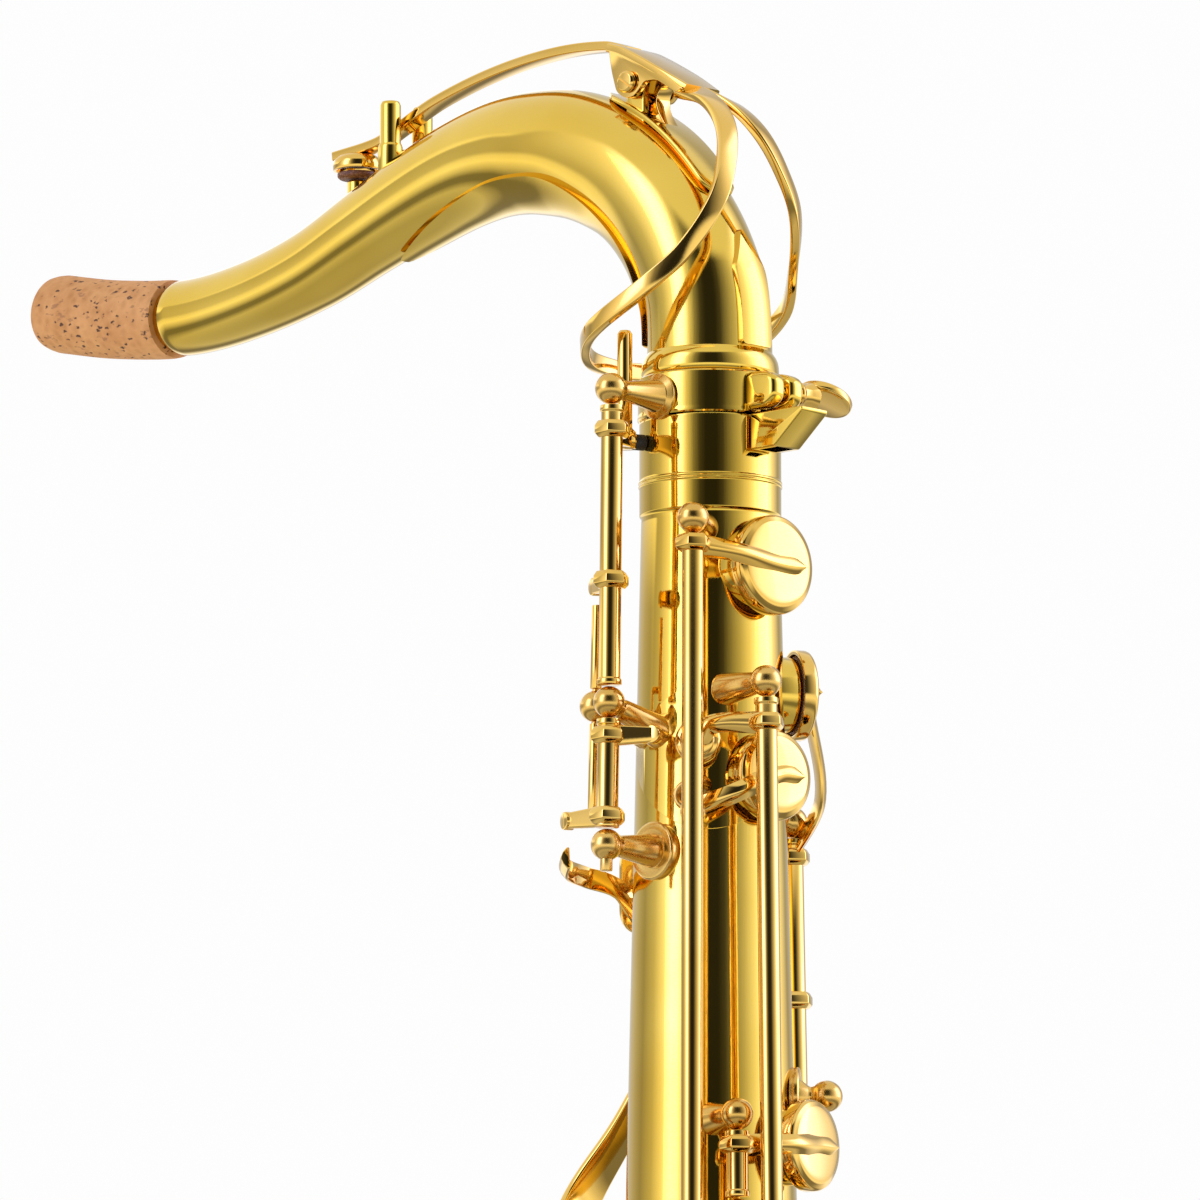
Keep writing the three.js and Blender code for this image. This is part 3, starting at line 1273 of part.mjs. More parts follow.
node('octave_pin_lever', octavePinLever(), roseBrass, {
  body: 'octave_pin_lever', swing: octaveSwing(octaveLine, octaveLine.stops[0], clampPost.stops[0], 6),
});
node('octave_transfer_lever', octaveTransferLever(), roseBrass, {
  body: 'octave_transfer_lever',
  swing: octaveSwing(octaveLine, octaveLine.stops[1], octaveLine.stops[0], 5),
});
node('octave_rocker', octaveRocker(), roseBrass, {
  body: 'octave_rocker', swing: octaveSwing(rockerLine, rocker.footDepth, rocker.topDepth, 6),
});
node('octave_thumb_key', octaveThumbKey(), roseBrass, {
  body: 'octave_thumb_key', swing: octaveSwing(thumbLine, thumbLine.stops[1], thumbLine.stops[0], 8),
});
addKey('body_octave_key', bodyOctaveKey);

node('bow', bowSolid(), brass);
node('bell', bellSolid(), brass);
node('body_bow_ring', bandSolid(
  at(0, 0, body.bottomDepth - ferrule.bodyLength / 2 - ferrule.bodyLift),
  at(0, 0, body.bottomDepth + ferrule.bodyLength / 2 - ferrule.bodyLift),
  bow.radius + 2 * clearance,
), brass);
node('bell_bow_ring', bandSolid(
  new THREE.Vector3(bow.span, 0, ferrule.length / 2 - bell.bottomDepth),
  new THREE.Vector3(bow.span, 0, -ferrule.length / 2 - bell.bottomDepth),
  bell.throatRadius + ferrule.bellSlack,
), brass);
node('bow_guard', bowGuard(), brass);
node('bell_brace', bellBrace(), brass);
node('low_key_guard', strapBridge(
  lowGuard, (lift, depth) => onTube(lowCHole.angle, lift, depth),
), roseBrass);
node('bell_key_guard', strapBridge(bellGuard, onBell), roseBrass);
node('thumb_rest', thumbRestSolid(), rubber);
node('thumb_hook', thumbHookSolid(), roseBrass);

export default instrument;
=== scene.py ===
# %% [markdown]
# # A tenor saxophone in polished brass
# The solids of the instrument are already packed, so this notebook dresses them. It loads them
# as a fixed frame, builds smooth pieces in their places, gives each finish its own nodes, and sets
# up a pale studio. Read it from top to bottom: each cell prints what it made.

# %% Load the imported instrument
import json
from math import cos, degrees, radians, sin, sqrt, tau

import bmesh
import bpy
from mathutils import Matrix, Vector
from mathutils.geometry import interpolate_bezier

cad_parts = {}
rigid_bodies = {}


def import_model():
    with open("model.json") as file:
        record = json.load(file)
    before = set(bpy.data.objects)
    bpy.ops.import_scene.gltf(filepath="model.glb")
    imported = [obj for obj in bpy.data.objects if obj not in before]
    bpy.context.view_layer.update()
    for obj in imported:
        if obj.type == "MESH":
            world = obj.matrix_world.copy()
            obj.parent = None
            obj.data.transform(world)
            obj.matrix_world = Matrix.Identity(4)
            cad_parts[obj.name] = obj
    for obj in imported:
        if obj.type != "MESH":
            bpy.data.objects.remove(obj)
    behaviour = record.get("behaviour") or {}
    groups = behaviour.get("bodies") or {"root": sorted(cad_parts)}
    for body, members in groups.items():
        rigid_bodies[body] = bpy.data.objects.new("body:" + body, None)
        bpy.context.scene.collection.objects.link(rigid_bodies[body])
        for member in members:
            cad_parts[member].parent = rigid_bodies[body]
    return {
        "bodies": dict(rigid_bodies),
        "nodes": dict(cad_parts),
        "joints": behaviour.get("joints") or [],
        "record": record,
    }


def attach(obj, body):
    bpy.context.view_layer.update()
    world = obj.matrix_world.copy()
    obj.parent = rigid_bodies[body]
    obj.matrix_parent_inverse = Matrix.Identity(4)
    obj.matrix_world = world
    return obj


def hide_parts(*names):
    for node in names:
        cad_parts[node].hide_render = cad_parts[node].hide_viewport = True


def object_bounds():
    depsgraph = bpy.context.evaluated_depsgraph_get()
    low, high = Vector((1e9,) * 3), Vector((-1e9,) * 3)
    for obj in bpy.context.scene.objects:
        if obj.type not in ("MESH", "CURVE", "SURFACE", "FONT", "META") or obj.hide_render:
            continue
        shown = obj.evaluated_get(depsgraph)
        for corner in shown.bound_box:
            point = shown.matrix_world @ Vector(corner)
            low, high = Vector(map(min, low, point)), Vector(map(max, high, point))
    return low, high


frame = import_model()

cad_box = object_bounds()

# %% [markdown]
# ## Places on the instrument
# A place on the body is given by its angle round the tube, its height above the tube and its
# distance below the top rim. These three numbers place nearly every piece on the body, in
# millimetres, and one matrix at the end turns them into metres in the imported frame. Another way
# would be to work in metres from the start, but small parts are easier to read in millimetres.

# %% Angles, heights and depths
RIM = Vector((31.4, 0, 340))
TO_FRAME = Matrix.Scale(0.001, 4) @ Matrix.Translation(RIM)
TOP_RADIUS, TOP_DEPTH = 14.6, 29.3
BOTTOM_RADIUS, BOTTOM_DEPTH = 27.6, 600
PLAYER_LEFT = Vector((0, 1, 0))
UPWARD = Vector((0, 0, 1))


def tube_radius(depth):
    share = max(0, (depth - TOP_DEPTH) / (BOTTOM_DEPTH - TOP_DEPTH))
    return TOP_RADIUS + (BOTTOM_RADIUS - TOP_RADIUS) * share


def radial(angle):
    return Vector((cos(radians(angle)), sin(radians(angle)), 0))


def tangent(angle):
    return Vector((-sin(radians(angle)), cos(radians(angle)), 0))


def at(angle, reach, depth):
    return radial(angle) * reach - Vector((0, 0, depth))


def on_tube(angle, lift, depth):
    return at(angle, tube_radius(depth) + lift, depth)


print("tube radius at the strap ring", round(tube_radius(340), 2))

# %% [markdown]
# ## Turned, swept and cut shapes
# Most of a saxophone is turned on a lathe, drawn as tube or bent from bar. So three builders do
# nearly all the work: one spins a profile round an axis, one drags a section along a path, and one
# raises a flat outline into a plate. Each makes a closed shell, and on most of them a final step
# softens the edges, because a real edge always catches a thin line of light.

# %% Shell helpers
def mesh_of(part, name):
    mesh = bpy.data.meshes.new(name)
    part.to_mesh(mesh)
    return mesh


def added(name, data):
    """An object of this data, linked to the scene."""
    thing = bpy.data.objects.new(name, data)
    bpy.context.scene.collection.objects.link(thing)
    return thing


def merged(target, part):
    mesh = mesh_of(part, "part")
    part.free()
    target.from_mesh(mesh)
    bpy.data.meshes.remove(mesh)


def soften(part, width, segments=2, limit=35):
    edges = [e for e in part.edges if e.is_manifold and degrees(e.calc_face_angle(0)) > limit]
    if width > 0 and edges:
        bmesh.ops.bevel(part, geom=edges, offset=width, segments=segments, affect="EDGES",
                        profile=0.5, material=-1, clamp_overlap=True)


def closed(part):
    bmesh.ops.remove_doubles(part, verts=part.verts, dist=0.0005)
    bmesh.ops.recalc_face_normals(part, faces=part.faces)


def turned(target, profile, foot, tip, segments=48, edge=0.25, edge_segments=2):
    """Spins a profile of (reach, height) pairs; height runs from foot towards tip."""
    part = bmesh.new()
    verts = [part.verts.new((reach, 0, height)) for reach, height in profile]
    wires = [part.edges.new(pair) for pair in zip(verts, verts[1:])]
    if profile[0][0] > 0 and profile[-1][0] > 0:
        wires.append(part.edges.new((verts[-1], verts[0])))
    bmesh.ops.spin(part, geom=verts + wires, cent=(0, 0, 0), axis=(0, 0, 1), angle=tau,
                   steps=segments, use_merge=True)
    closed(part)
    soften(part, edge, edge_segments)
    turn = Vector((0, 0, 1)).rotation_difference(tip - foot).to_matrix().to_4x4()
    part.transform(Matrix.Translation(foot) @ turn)
    merged(target, part)


def rod_of(target, foot, tip, radius, segments=32, edge=0.25):
    length = (tip - foot).length
    turned(target, [(0, 0), (radius, 0), (radius, length), (0, length)], foot, tip, segments, edge)


def box_of(size, middle, turn=Matrix.Identity(3)):
    part = bmesh.new()
    bmesh.ops.create_cube(part, size=1)
    bmesh.ops.scale(part, vec=size, verts=part.verts)
    bmesh.ops.rotate(part, matrix=turn, verts=part.verts)
    bmesh.ops.translate(part, vec=middle, verts=part.verts)
    return part


def arc(reach, height, wide, high, turns):
    """Profile points round (reach, height), at the given turns in degrees."""
    return [(reach + wide * cos(radians(turn)), height + high * sin(radians(turn))) for turn in turns]


BALL_TURNS, RING_TURNS, DOME_TURNS = range(-48, 90, 8), range(0, 360, 20), range(0, 90, 10)


def smooth_path(points, per_span=8):
    points = [Vector(point) for point in points]
    path = [points[0]]
    for here, there in zip(range(len(points)), range(1, len(points))):
        start, end = points[here], points[there]
        before = points[max(here - 1, 0)]
        after = points[min(there + 1, len(points) - 1)]
        reach = (end - start).length / 3
        lean_out = start + (end - before).normalized() * reach
        lean_in = end - (after - start).normalized() * reach
        path += interpolate_bezier(start, lean_out, lean_in, end, per_span + 1)[1:]
    return path


def evened(path, count):
    """The same path as evenly spaced points."""
    runs = [0]
    for one, other in zip(path, path[1:]):
        runs.append(runs[-1] + (other - one).length)
    spaced, index = [], 0
    for step in range(count + 1):
        goal = runs[-1] * step / count
        while index < len(runs) - 2 and runs[index + 1] < goal:
            index += 1
        span = max(runs[index + 1] - runs[index], 1e-9)
        spaced.append(path[index].lerp(path[index + 1], min(1, (goal - runs[index]) / span)))
    return spaced


def smooth_table(table):
    """Reads a value at any share along a smooth curve through (share, value) pairs."""
    curve = smooth_path([(share, value, 0) for share, value in table], 10)

    def read(share):
        for one, other in zip(curve, curve[1:]):
            if other.x >= share:
                span = max(other.x - one.x, 1e-9)
                return one.y + (other.y - one.y) * max(0, (share - one.x) / span)
        return curve[-1].y
    return read


def station(path, index, out, wide, thick):
    """A frame on the path: across, outwards and ahead, stretched to the section's size."""
    ahead = path[min(index + 1, len(path) - 1)] - path[max(index - 1, 0)]
    ahead.normalize()
    wanted = out(path[index]) if callable(out) else out
    through = (wanted - ahead * wanted.dot(ahead)).normalized()
    across = through.cross(ahead)
    basis = Matrix((across * wide, through * thick, ahead)).transposed().to_4x4()
    return Matrix.Translation(path[index]) @ basis


def ringed(part, path, out, section, size_at=None):
    """Extrudes a section along the path; returns the edges of its first and last ring."""
    sizes = [size_at(n / (len(path) - 1)) if size_at else (1, 1) for n in range(len(path))]
    frames = [station(path, n, out, *sizes[n]) for n in range(len(path))]
    ring = [part.verts.new((x, y, 0)) for x, y in section]
    first = [part.edges.new((a, b)) for a, b in zip(ring, ring[1:] + ring[:1])]
    bmesh.ops.transform(part, matrix=frames[0], verts=ring)
    edges = first
    for last, here in zip(frames, frames[1:]):
        made = bmesh.ops.extrude_edge_only(part, edges=edges)["geom"]
        verts = [item for item in made if isinstance(item, bmesh.types.BMVert)]
        edges = [item for item in made if isinstance(item, bmesh.types.BMEdge)
                 and item.verts[0] in verts and item.verts[1] in verts]
        bmesh.ops.transform(part, matrix=here @ last.inverted(), verts=verts)
    return first, edges


def swept(target, path, out, section, size_at=None, edge=0.0):
    """A solid bar: the section's second axis faces the out vector all along the path."""
    part = bmesh.new()
    first, last = ringed(part, path, out, section, size_at)
    for ring in (first, last):
        bmesh.ops.contextual_create(part, geom=ring)
    closed(part)
    soften(part, edge, 2, 60)
    merged(target, part)


def drawn(target, path, out, radius_at, wall, sides=64):
    """A drawn tube: an outer and an inner skin, bridged at both ends."""
    part = bmesh.new()
    outside = ringed(part, path, out, round_section(sides), lambda s: (radius_at(s),) * 2)
    inside = ringed(part, path, out, round_section(sides), lambda s: (radius_at(s) - wall,) * 2)
    for outer, inner in zip(outside, inside):
        bmesh.ops.bridge_loops(part, edges=outer + inner)
    bmesh.ops.recalc_face_normals(part, faces=part.faces)
    merged(target, part)


def carved(target, cutter, operation="DIFFERENCE"):
    """Cuts one closed mesh with another through a Boolean modifier on passing objects."""
    pair = [added("carving", mesh_of(part, "carving")) for part in (target, cutter)]
    modifier = pair[0].modifiers.new("cut", "BOOLEAN")
    modifier.operation, modifier.solver, modifier.object = operation, "EXACT", pair[1]
    result = pair[0].evaluated_get(bpy.context.evaluated_depsgraph_get())
    target.clear()
    target.from_mesh(result.to_mesh())
    result.to_mesh_clear()
    cutter.free()
    for thing in pair:
        bpy.data.meshes.remove(thing.data)


def plate(target, outline, thickness, place, edge=0.4):
    """Raises a flat outline of (x, y) pairs to a plate; the place matrix sets it on the tube."""
    part = bmesh.new()
    verts = [part.verts.new((x, y, -thickness / 2)) for x, y in outline]
    face = part.faces.new(verts)
    made = bmesh.ops.extrude_face_region(part, geom=[face])["geom"]
    top = [item for item in made if isinstance(item, bmesh.types.BMVert)]
    bmesh.ops.translate(part, verts=top, vec=(0, 0, thickness))
    closed(part)
    soften(part, edge, 3)
    part.transform(place)
    merged(target, part)


def round_section(sides=48):
    return [(cos(tau * n / sides), sin(tau * n / sides)) for n in range(sides)]


def bar_section(width, thickness, corner, steps=3):
    """A rectangle with rounded corners."""
    points = []
    for quarter, (sx, sy) in enumerate([(1, 1), (-1, 1), (-1, -1), (1, -1)]):
        for step in range(steps + 1):
            angle = radians(90 * quarter + 90 * step / steps)
            points.append((sx * (width / 2 - corner) + corner * cos(angle),
                           sy * (thickness / 2 - corner) + corner * sin(angle)))
    return points


def ridge_section(width, thickness):
    """Flat below with a soft ridge on top, as cup arms are forged."""
    half, low = width / 2, -thickness / 2
    return [(-half, low), (half, low), (half, low + thickness * 0.3), (half * 0.55, thickness * 0.28),
            (half * 0.12, thickness / 2), (-half * 0.12, thickness / 2),
            (-half * 0.55, thickness * 0.28), (-half, low + thickness * 0.3)]


def dressed(bm, name, node, body="body", finish="brass"):
    """Turns a finished mesh into a piece that rides its body and stands for its node."""
    bm.transform(TO_FRAME)
    for face in bm.faces:
        face.smooth = True
    for edge in bm.edges:
        if edge.is_manifold and degrees(edge.calc_face_angle(0)) > 40:
            edge.smooth = False
    mesh = mesh_of(bm, name)
    bm.free()
    piece = added(name, mesh)
    mesh.materials.append(FINISHES[finish])
    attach(piece, body)
    "brass" if finish == "satin_brass" else finish
    if node:
        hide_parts(node)
    print(name, len(mesh.polygons))


print("helpers ready")

# %% [markdown]
# ## Writing shader nodes as sums
# A finish is a small piece of maths over the surface. Wiring it by hand hides that maths, so a
# thin wrapper lets Python's own signs make the Math nodes, and one more method makes any other
# node. Colours pass through Mix nodes, since a Math node would turn them grey.

# %% A wrapper for sockets
class Signal:
    """A node's output that can be added, subtracted, multiplied and divided."""

    def __init__(self, tree, socket):
        self.tree, self.socket = tree, socket

    def node(self, kind, settings=None, output=0, **inputs):
        made = self.tree.nodes.new(kind)
        for name, value in (settings or {}).items():
            if name == "stops":
                ramp = made.color_ramp
                while len(ramp.elements) < len(value):
                    ramp.elements.new(0.5)
                for element, (place, colour) in zip(ramp.elements, value):
                    element.position, element.color = place, colour
            else:
                setattr(made, name, value)
        for name, value in inputs.items():
            key = int(name[1:]) if name[0] == "_" and name[1:].isdigit() else name.replace("_", " ")
            if isinstance(value, Signal):
                self.tree.links.new(value.socket, made.inputs[key])
            else:
                made.inputs[key].default_value = value
        return Signal(self.tree, made.outputs[output])

    def noise(self, scale, detail, **more):
        """Noise over the place that this signal holds."""
        return self.node("ShaderNodeTexNoise", Vector=self, Scale=scale, Detail=detail, **more)

    def maths(self, operation, one, other=0.0):
        return self.node("ShaderNodeMath", {"operation": operation}, _0=one, _1=other)

    def __add__(self, other):
        return self.maths("ADD", self, other)

    def __radd__(self, other):
        return self.maths("ADD", other, self)

    def __sub__(self, other):
        return self.maths("SUBTRACT", self, other)

    def __rsub__(self, other):
        return self.maths("SUBTRACT", other, self)

    def __mul__(self, other):
        return self.maths("MULTIPLY", self, other)

    def __truediv__(self, other):
        return self.maths("DIVIDE", self, other)

    def between(self, low, high):
        """Runs smoothly from 0 at low to 1 at high."""
        return self.node("ShaderNodeMapRange", {"interpolation_type": "SMOOTHSTEP"},
                         Value=self, From_Min=low, From_Max=high)

    def mixed(self, one, other):
        """One colour where this signal is 0, the other where it is 1."""
        return self.node("ShaderNodeMix", {"data_type": "RGBA"}, 2, _0=self, _6=one, _7=other)


def new_finish(name, metallic, roughness):
    """A finish with its shader; the returned signal holds the surface's own coordinates."""
    material = bpy.data.materials.new(name)
    material.use_nodes = True
    tree = material.node_tree
    shader = tree.nodes["Principled BSDF"]
    feed(shader, Metallic=metallic, Roughness=roughness)
    place = Signal(tree, tree.nodes.new("ShaderNodeTexCoord").outputs["Object"])
    return material, shader, place


def feed(shader, **inputs):
    """Sets inputs of the shader to plain values, or links signals to them."""
    for name, value in inputs.items():
        socket = shader.inputs[name.replace("_", " ")]
        if isinstance(value, Signal):
            shader.id_data.links.new(value.socket, socket)
        else:
            socket.default_value = value


def emboss(shader, height, strength, distance):
    """Makes the height signal felt as fine relief."""
    feed(shader, Normal=height.node("ShaderNodeBump", Height=height, Strength=strength,
                                    Distance=distance))


print("signals ready")

# %% [markdown]
# ## Lacquered brass
# The tube is bright brass under clear lacquer. The metal mirrors the room nearly sharply. What
# keeps it from looking like plastic is small: long faint polishing lines, a slow change of tone
# where the lacquer is thicker, and a slight haze that varies from place to place. Three noises at
# three scales do this. A picture texture could too, but would not fit every piece. The keys are of
# a slightly redder brass, and the posts have a duller, satin surface.

# %% Brass finishes
def brass_finish(name, deep, pale, haze, grain):
    material, shader, place = new_finish(name, 1.0, haze)
    broad, fine = place.noise(24.0, 3.0, Roughness=0.5), place.noise(900.0, 2.0, Roughness=0.6)
    stretch = place.node("ShaderNodeMapping", Vector=place, Scale=(1.0, 1.0, 0.05))
    lines = stretch.noise(2600.0, 2.0, Roughness=0.7)
    tone = broad.between(0.3, 0.7)
    feed(shader, Base_Color=tone.mixed(deep, pale),
         Roughness=haze + (fine - 0.5) * 0.03 + tone * 0.03)
    emboss(shader, lines * grain + fine * 0.3, 0.02, 0.0002)
    feed(shader, Coat_Weight=0.35, Coat_Roughness=0.03, Coat_IOR=1.5)
    return material


FINISHES = {
    "brass": brass_finish("lacquered_brass", (0.77, 0.5, 0.055, 1), (0.84, 0.585, 0.095, 1), 0.06, 1.0),
    "satin_brass": brass_finish("satin_brass", (0.72, 0.43, 0.085, 1), (0.8, 0.51, 0.13, 1), 0.2, 1.4),
    "rose_brass": brass_finish("rose_brass", (0.8, 0.49, 0.085, 1), (0.87, 0.57, 0.14, 1), 0.055, 0.6),
}
print("brass", list(FINISHES))

# %% [markdown]
# ## Cork, leather, pearl and rubber
# Sheet cork is pale tan with dark pores that lie in little dashes and with faint grain between
# them. Pads are tanned leather, fine in grain and a little shiny on the crown. The round finger
# buttons are pearl: pale, smooth, with cloudy bands that drift in colour. The pin lever's stop and
# the thumb rest are plain dark rubber.

# %% Cork
def cork_finish():
    material, shader, place = new_finish("natural_cork", 0.0, 0.8)
    bits = place.node("ShaderNodeTexVoronoi", {"feature": "F1"}, Vector=place, Scale=420.0)
    clouds = place.noise(160.0, 5.0, Roughness=0.65)
    stretched = place.node("ShaderNodeMapping", Vector=place, Scale=(0.5, 1.0, 1.0))
    pores = stretched.noise(620.0, 3.0, Roughness=0.5)
    wander = place.node("ShaderNodeTexNoise", None, 1, Vector=place, Scale=900.0, Detail=2.0)
    crooked = place.node("ShaderNodeMix", {"data_type": "VECTOR"}, 1, _0=0.0012, _4=stretched, _5=wander)
    reach = place.node("ShaderNodeTexVoronoi", None, 0, Vector=crooked, Scale=850.0)
    chance = place.node("ShaderNodeTexVoronoi", None, 1, Vector=crooked, Scale=850.0)
    chosen = chance.node("ShaderNodeSeparateColor", None, 0, _0=chance).between(0.5, 0.56)
    dark = chosen * (1 - reach.between(0.18, 0.34))
    pits = pores.between(0.62, 0.7) * 0.6
    body = clouds.between(0.3, 0.7).mixed((0.52, 0.22, 0.05, 1), (0.7, 0.35, 0.11, 1))
    worn = (bits * 1.4).between(0.0, 0.9).mixed((0.47, 0.19, 0.045, 1), (0.72, 0.36, 0.12, 1))
    ground = place.node("ShaderNodeMix", {"data_type": "RGBA"}, 2, _0=0.35, _6=body, _7=worn)
    speckled = pits.mixed(ground, (0.3, 0.13, 0.05, 1))
    feed(shader, Base_Color=dark.mixed(speckled, (0.1, 0.045, 0.02, 1)))
    emboss(shader, clouds * 0.4 - dark * 1.0 - pits * 0.6, 0.5, 0.0003)
    return material


FINISHES["cork"] = cork_finish()
print("cork ready")


# %% Leather, pearl and rubber
def leather_finish():
    material, shader, place = new_finish("pad_leather", 0.0, 0.5)
    cells = place.node("ShaderNodeTexVoronoi", {"feature": "DISTANCE_TO_EDGE"}, Vector=place,
                       Scale=1500.0)
    tone = place.noise(120.0, 4.0, Roughness=0.6)
    creases = cells.between(0.0, 0.25)
    tint = tone.between(0.3, 0.7).mixed((0.17, 0.06, 0.022, 1), (0.3, 0.12, 0.045, 1))
    feed(shader, Base_Color=creases.mixed((0.12, 0.04, 0.015, 1), tint), Roughness=0.62 - creases * 0.18)
    emboss(shader, creases, 0.35, 0.0001)
    return material


def pearl_finish():
    material, shader, place = new_finish("finger_pearl", 0.0, 0.16)
    drift = place.noise(110.0, 3.0, Distortion=1.6)
    bands = place.node("ShaderNodeTexWave", {"wave_type": "BANDS"}, Vector=place, Scale=60.0,
                       Distortion=9.0, Detail=3.0, Detail_Scale=2.0)
    cloud = drift.between(0.35, 0.65).mixed((0.82, 0.83, 0.8, 1), (0.93, 0.88, 0.8, 1))
    feed(shader, Base_Color=(bands * 0.35).mixed(cloud, (0.98, 0.95, 0.93, 1)),
         Roughness=0.12 + drift * 0.1, Coat_Weight=0.6, Coat_Roughness=0.05)
    return material


def rubber_finish():
    material, shader, place = new_finish("dark_rubber", 0.0, 0.6)
    grain, dust = place.noise(1400.0, 2.0), place.noise(90.0, 3.0)
    tint = dust.between(0.35, 0.75).mixed((0.012, 0.011, 0.01, 1), (0.03, 0.027, 0.025, 1))
    feed(shader, Base_Color=tint, Roughness=0.45 + grain * 0.2)
    emboss(shader, grain, 0.15, 0.0002)
    return material


FINISHES["leather"] = leather_finish()
FINISHES["pearl"] = pearl_finish()
FINISHES["rubber"] = rubber_finish()
print("finishes", list(FINISHES))

# %% [markdown]
# ## Camera, floor and room
# The instrument is seen from its player's right and a little from below, through a long lens, with
# only the neck and the top of the body in the frame. Polished brass shows its room, so the room
# matters more than any lamp. It is dark behind the camera, very bright to the left and the right
# and dimmer behind the instrument, and these steps draw the long stripes down the tube. Below, one
# darker band crosses it. The room is painted on the world, so that it stays the same from every
# side, and rays from the camera see plain white. The floor is kept out of reflections, so the
# underside of the neck mirrors the painted room alone.

# %% Camera
VIEW_TURN, VIEW_REACH, VIEW_DROP = 44, 2462, 440
AIM_SIDE, AIM_DROP, LENS = -23.3, 47, 354.7
toward = Vector((sin(radians(VIEW_TURN)), -cos(radians(VIEW_TURN)), 0))
rightward = Vector((cos(radians(VIEW_TURN)), sin(radians(VIEW_TURN)), 0))
stand = toward * VIEW_REACH + rightward * AIM_SIDE + Vector((0, 0, -VIEW_DROP))
aim = rightward * AIM_SIDE + Vector((0, 0, -AIM_DROP))
camera = added("camera", bpy.data.cameras.new("camera"))
camera.data.sensor_width, camera.data.lens, camera.data.clip_end = 36, LENS, 50
camera.location = TO_FRAME @ stand
camera.rotation_euler = (aim - stand).to_track_quat("-Z", "Y").to_euler()
bpy.context.scene.camera = camera
print("camera at", [round(value, 3) for value in camera.location])

# %% Floor
FLOOR_REACH, FLOOR_GAP = 1.4, 0.0005
floor_mesh = bmesh.new()
bmesh.ops.create_grid(floor_mesh, x_segments=2, y_segments=2, size=FLOOR_REACH)
bmesh.ops.translate(floor_mesh, verts=floor_mesh.verts, vec=(0, 0, cad_box[0][2] - FLOOR_GAP))
floor = added("floor", mesh_of(floor_mesh, "floor"))
floor_mesh.free()
floor_finish, floor_shader, floor_place = new_finish("pale_floor", 0.0, 0.75)
grit = floor_place.noise(6.0, 3.0)
feed(floor_shader, Base_Color=grit.mixed((0.9, 0.89, 0.78, 1), (0.94, 0.93, 0.82, 1)))
floor.data.materials.append(floor_finish)
floor.visible_glossy = False
print("floor at", round(cad_box[0][2], 4))

# %% Room
world = bpy.data.worlds.new("studio")
bpy.context.scene.world = world
world.use_nodes = True
sky = world.node_tree
sky.nodes.clear()
heading = Signal(sky, sky.nodes.new("ShaderNodeTexCoord").outputs["Generated"])
split = sky.nodes.new("ShaderNodeSeparateXYZ")
sky.links.new(heading.socket, split.inputs[0])
east, north, up = (Signal(sky, split.outputs[axis]) for axis in range(3))
ahead = east * toward.x + north * toward.y
aside = east * rightward.x + north * rightward.y
bearing = heading.maths("ARCTAN2", aside, ahead) / tau + 0.5
ROOM_STOPS = [(-180, 0.7), (-141, 0.62), (-114, 0.4), (-91, 0.72), (-74, 1.3), (-60, 2.6),
              (-50, 2.4), (-39, 1.0), (-28, 0.3), (-18, 0.07), (-8, 0.025), (10, 0.025), (20, 0.07),
              (32, 0.3), (48, 0.66), (66, 1.25), (84, 2.3), (106, 2.5), (120, 1.3), (140, 0.45),
              (165, 0.6), (180, 0.7)]
HIGH_STOPS = [(0.1, 1.1), (0.24, 1.6), (0.4, 1.0), (1, 0.9)]
LOW_STOPS = [(0, 1.0), (0.2, 1.3), (0.34, 0.8), (0.46, 0.25), (0.56, 0.25), (0.68, 0.7),
             (0.85, 0.5), (1, 0.55)]


def grey(level, warmth=0.0):
    return (level, level * (1 - warmth), level * (1 - 2 * warmth), 1)


def bleached(level):
    """A lamp strong enough to wash the gold out of its own reflection."""
    return (level, level, level * (1 + 0.6 * max(0, level - 1)), 1)


round_the_room = bearing.node("ShaderNodeValToRGB", {"stops": [
    (0.5 + angle / 360, bleached(level)) for angle, level in ROOM_STOPS]}, _0=bearing)
LEFT_WALL, WALL_TOP, UNDERSIDE = (0.2, 0.3), (0.66, 0.76), (-0.02, 0.1)
left_wall = 1 - bearing.between(*LEFT_WALL)
above = up.node("ShaderNodeValToRGB", {"stops": [
    (share, grey(level)) for share, level in HIGH_STOPS]}, _0=up)
high = (up + left_wall * 0.5).between(*WALL_TOP).mixed(round_the_room, above)
beneath = up.node("ShaderNodeValToRGB", {"stops": [
    (share, grey(level)) for share, level in LOW_STOPS]}, _0=up * -1)
room = (up * -1).between(*UNDERSIDE).mixed(high, beneath)
shine = room.node("ShaderNodeBackground", Color=room, Strength=1.0)
plain = room.node("ShaderNodeBackground", Color=grey(0.985), Strength=1.0)
seen = Signal(sky, sky.nodes.new("ShaderNodeLightPath").outputs["Is Camera Ray"])
shown = seen.node("ShaderNodeMixShader", _0=seen, _1=shine, _2=plain)
sky.links.new(shown.socket, sky.nodes.new("ShaderNodeOutputWorld").inputs["Surface"])
print("room stops", len(ROOM_STOPS))

# %% [markdown]
# The picture keeps its strong contrast only if bright values run straight to white. The standard
# view does that, while the filmic views would turn the white room grey.

# %% View
bpy.context.scene.view_settings.view_transform = "Standard"
print("view", bpy.context.scene.view_settings.view_transform)


# %% Soft lamps
LAMP_AIM = Vector((0, 0, -200))


def lamp(name, turn, height, reach, size, power):
    data = bpy.data.lights.new(name, "AREA")
    data.shape, data.size, data.size_y, data.energy = "RECTANGLE", size, size * 1.6, power
    spot = added(name, data)
    away = toward * cos(radians(turn)) + rightward * sin(radians(turn))
    place = away * reach + Vector((0, 0, height))
    spot.location = TO_FRAME @ place
    spot.rotation_euler = (LAMP_AIM - place).to_track_quat("-Z", "Y").to_euler()


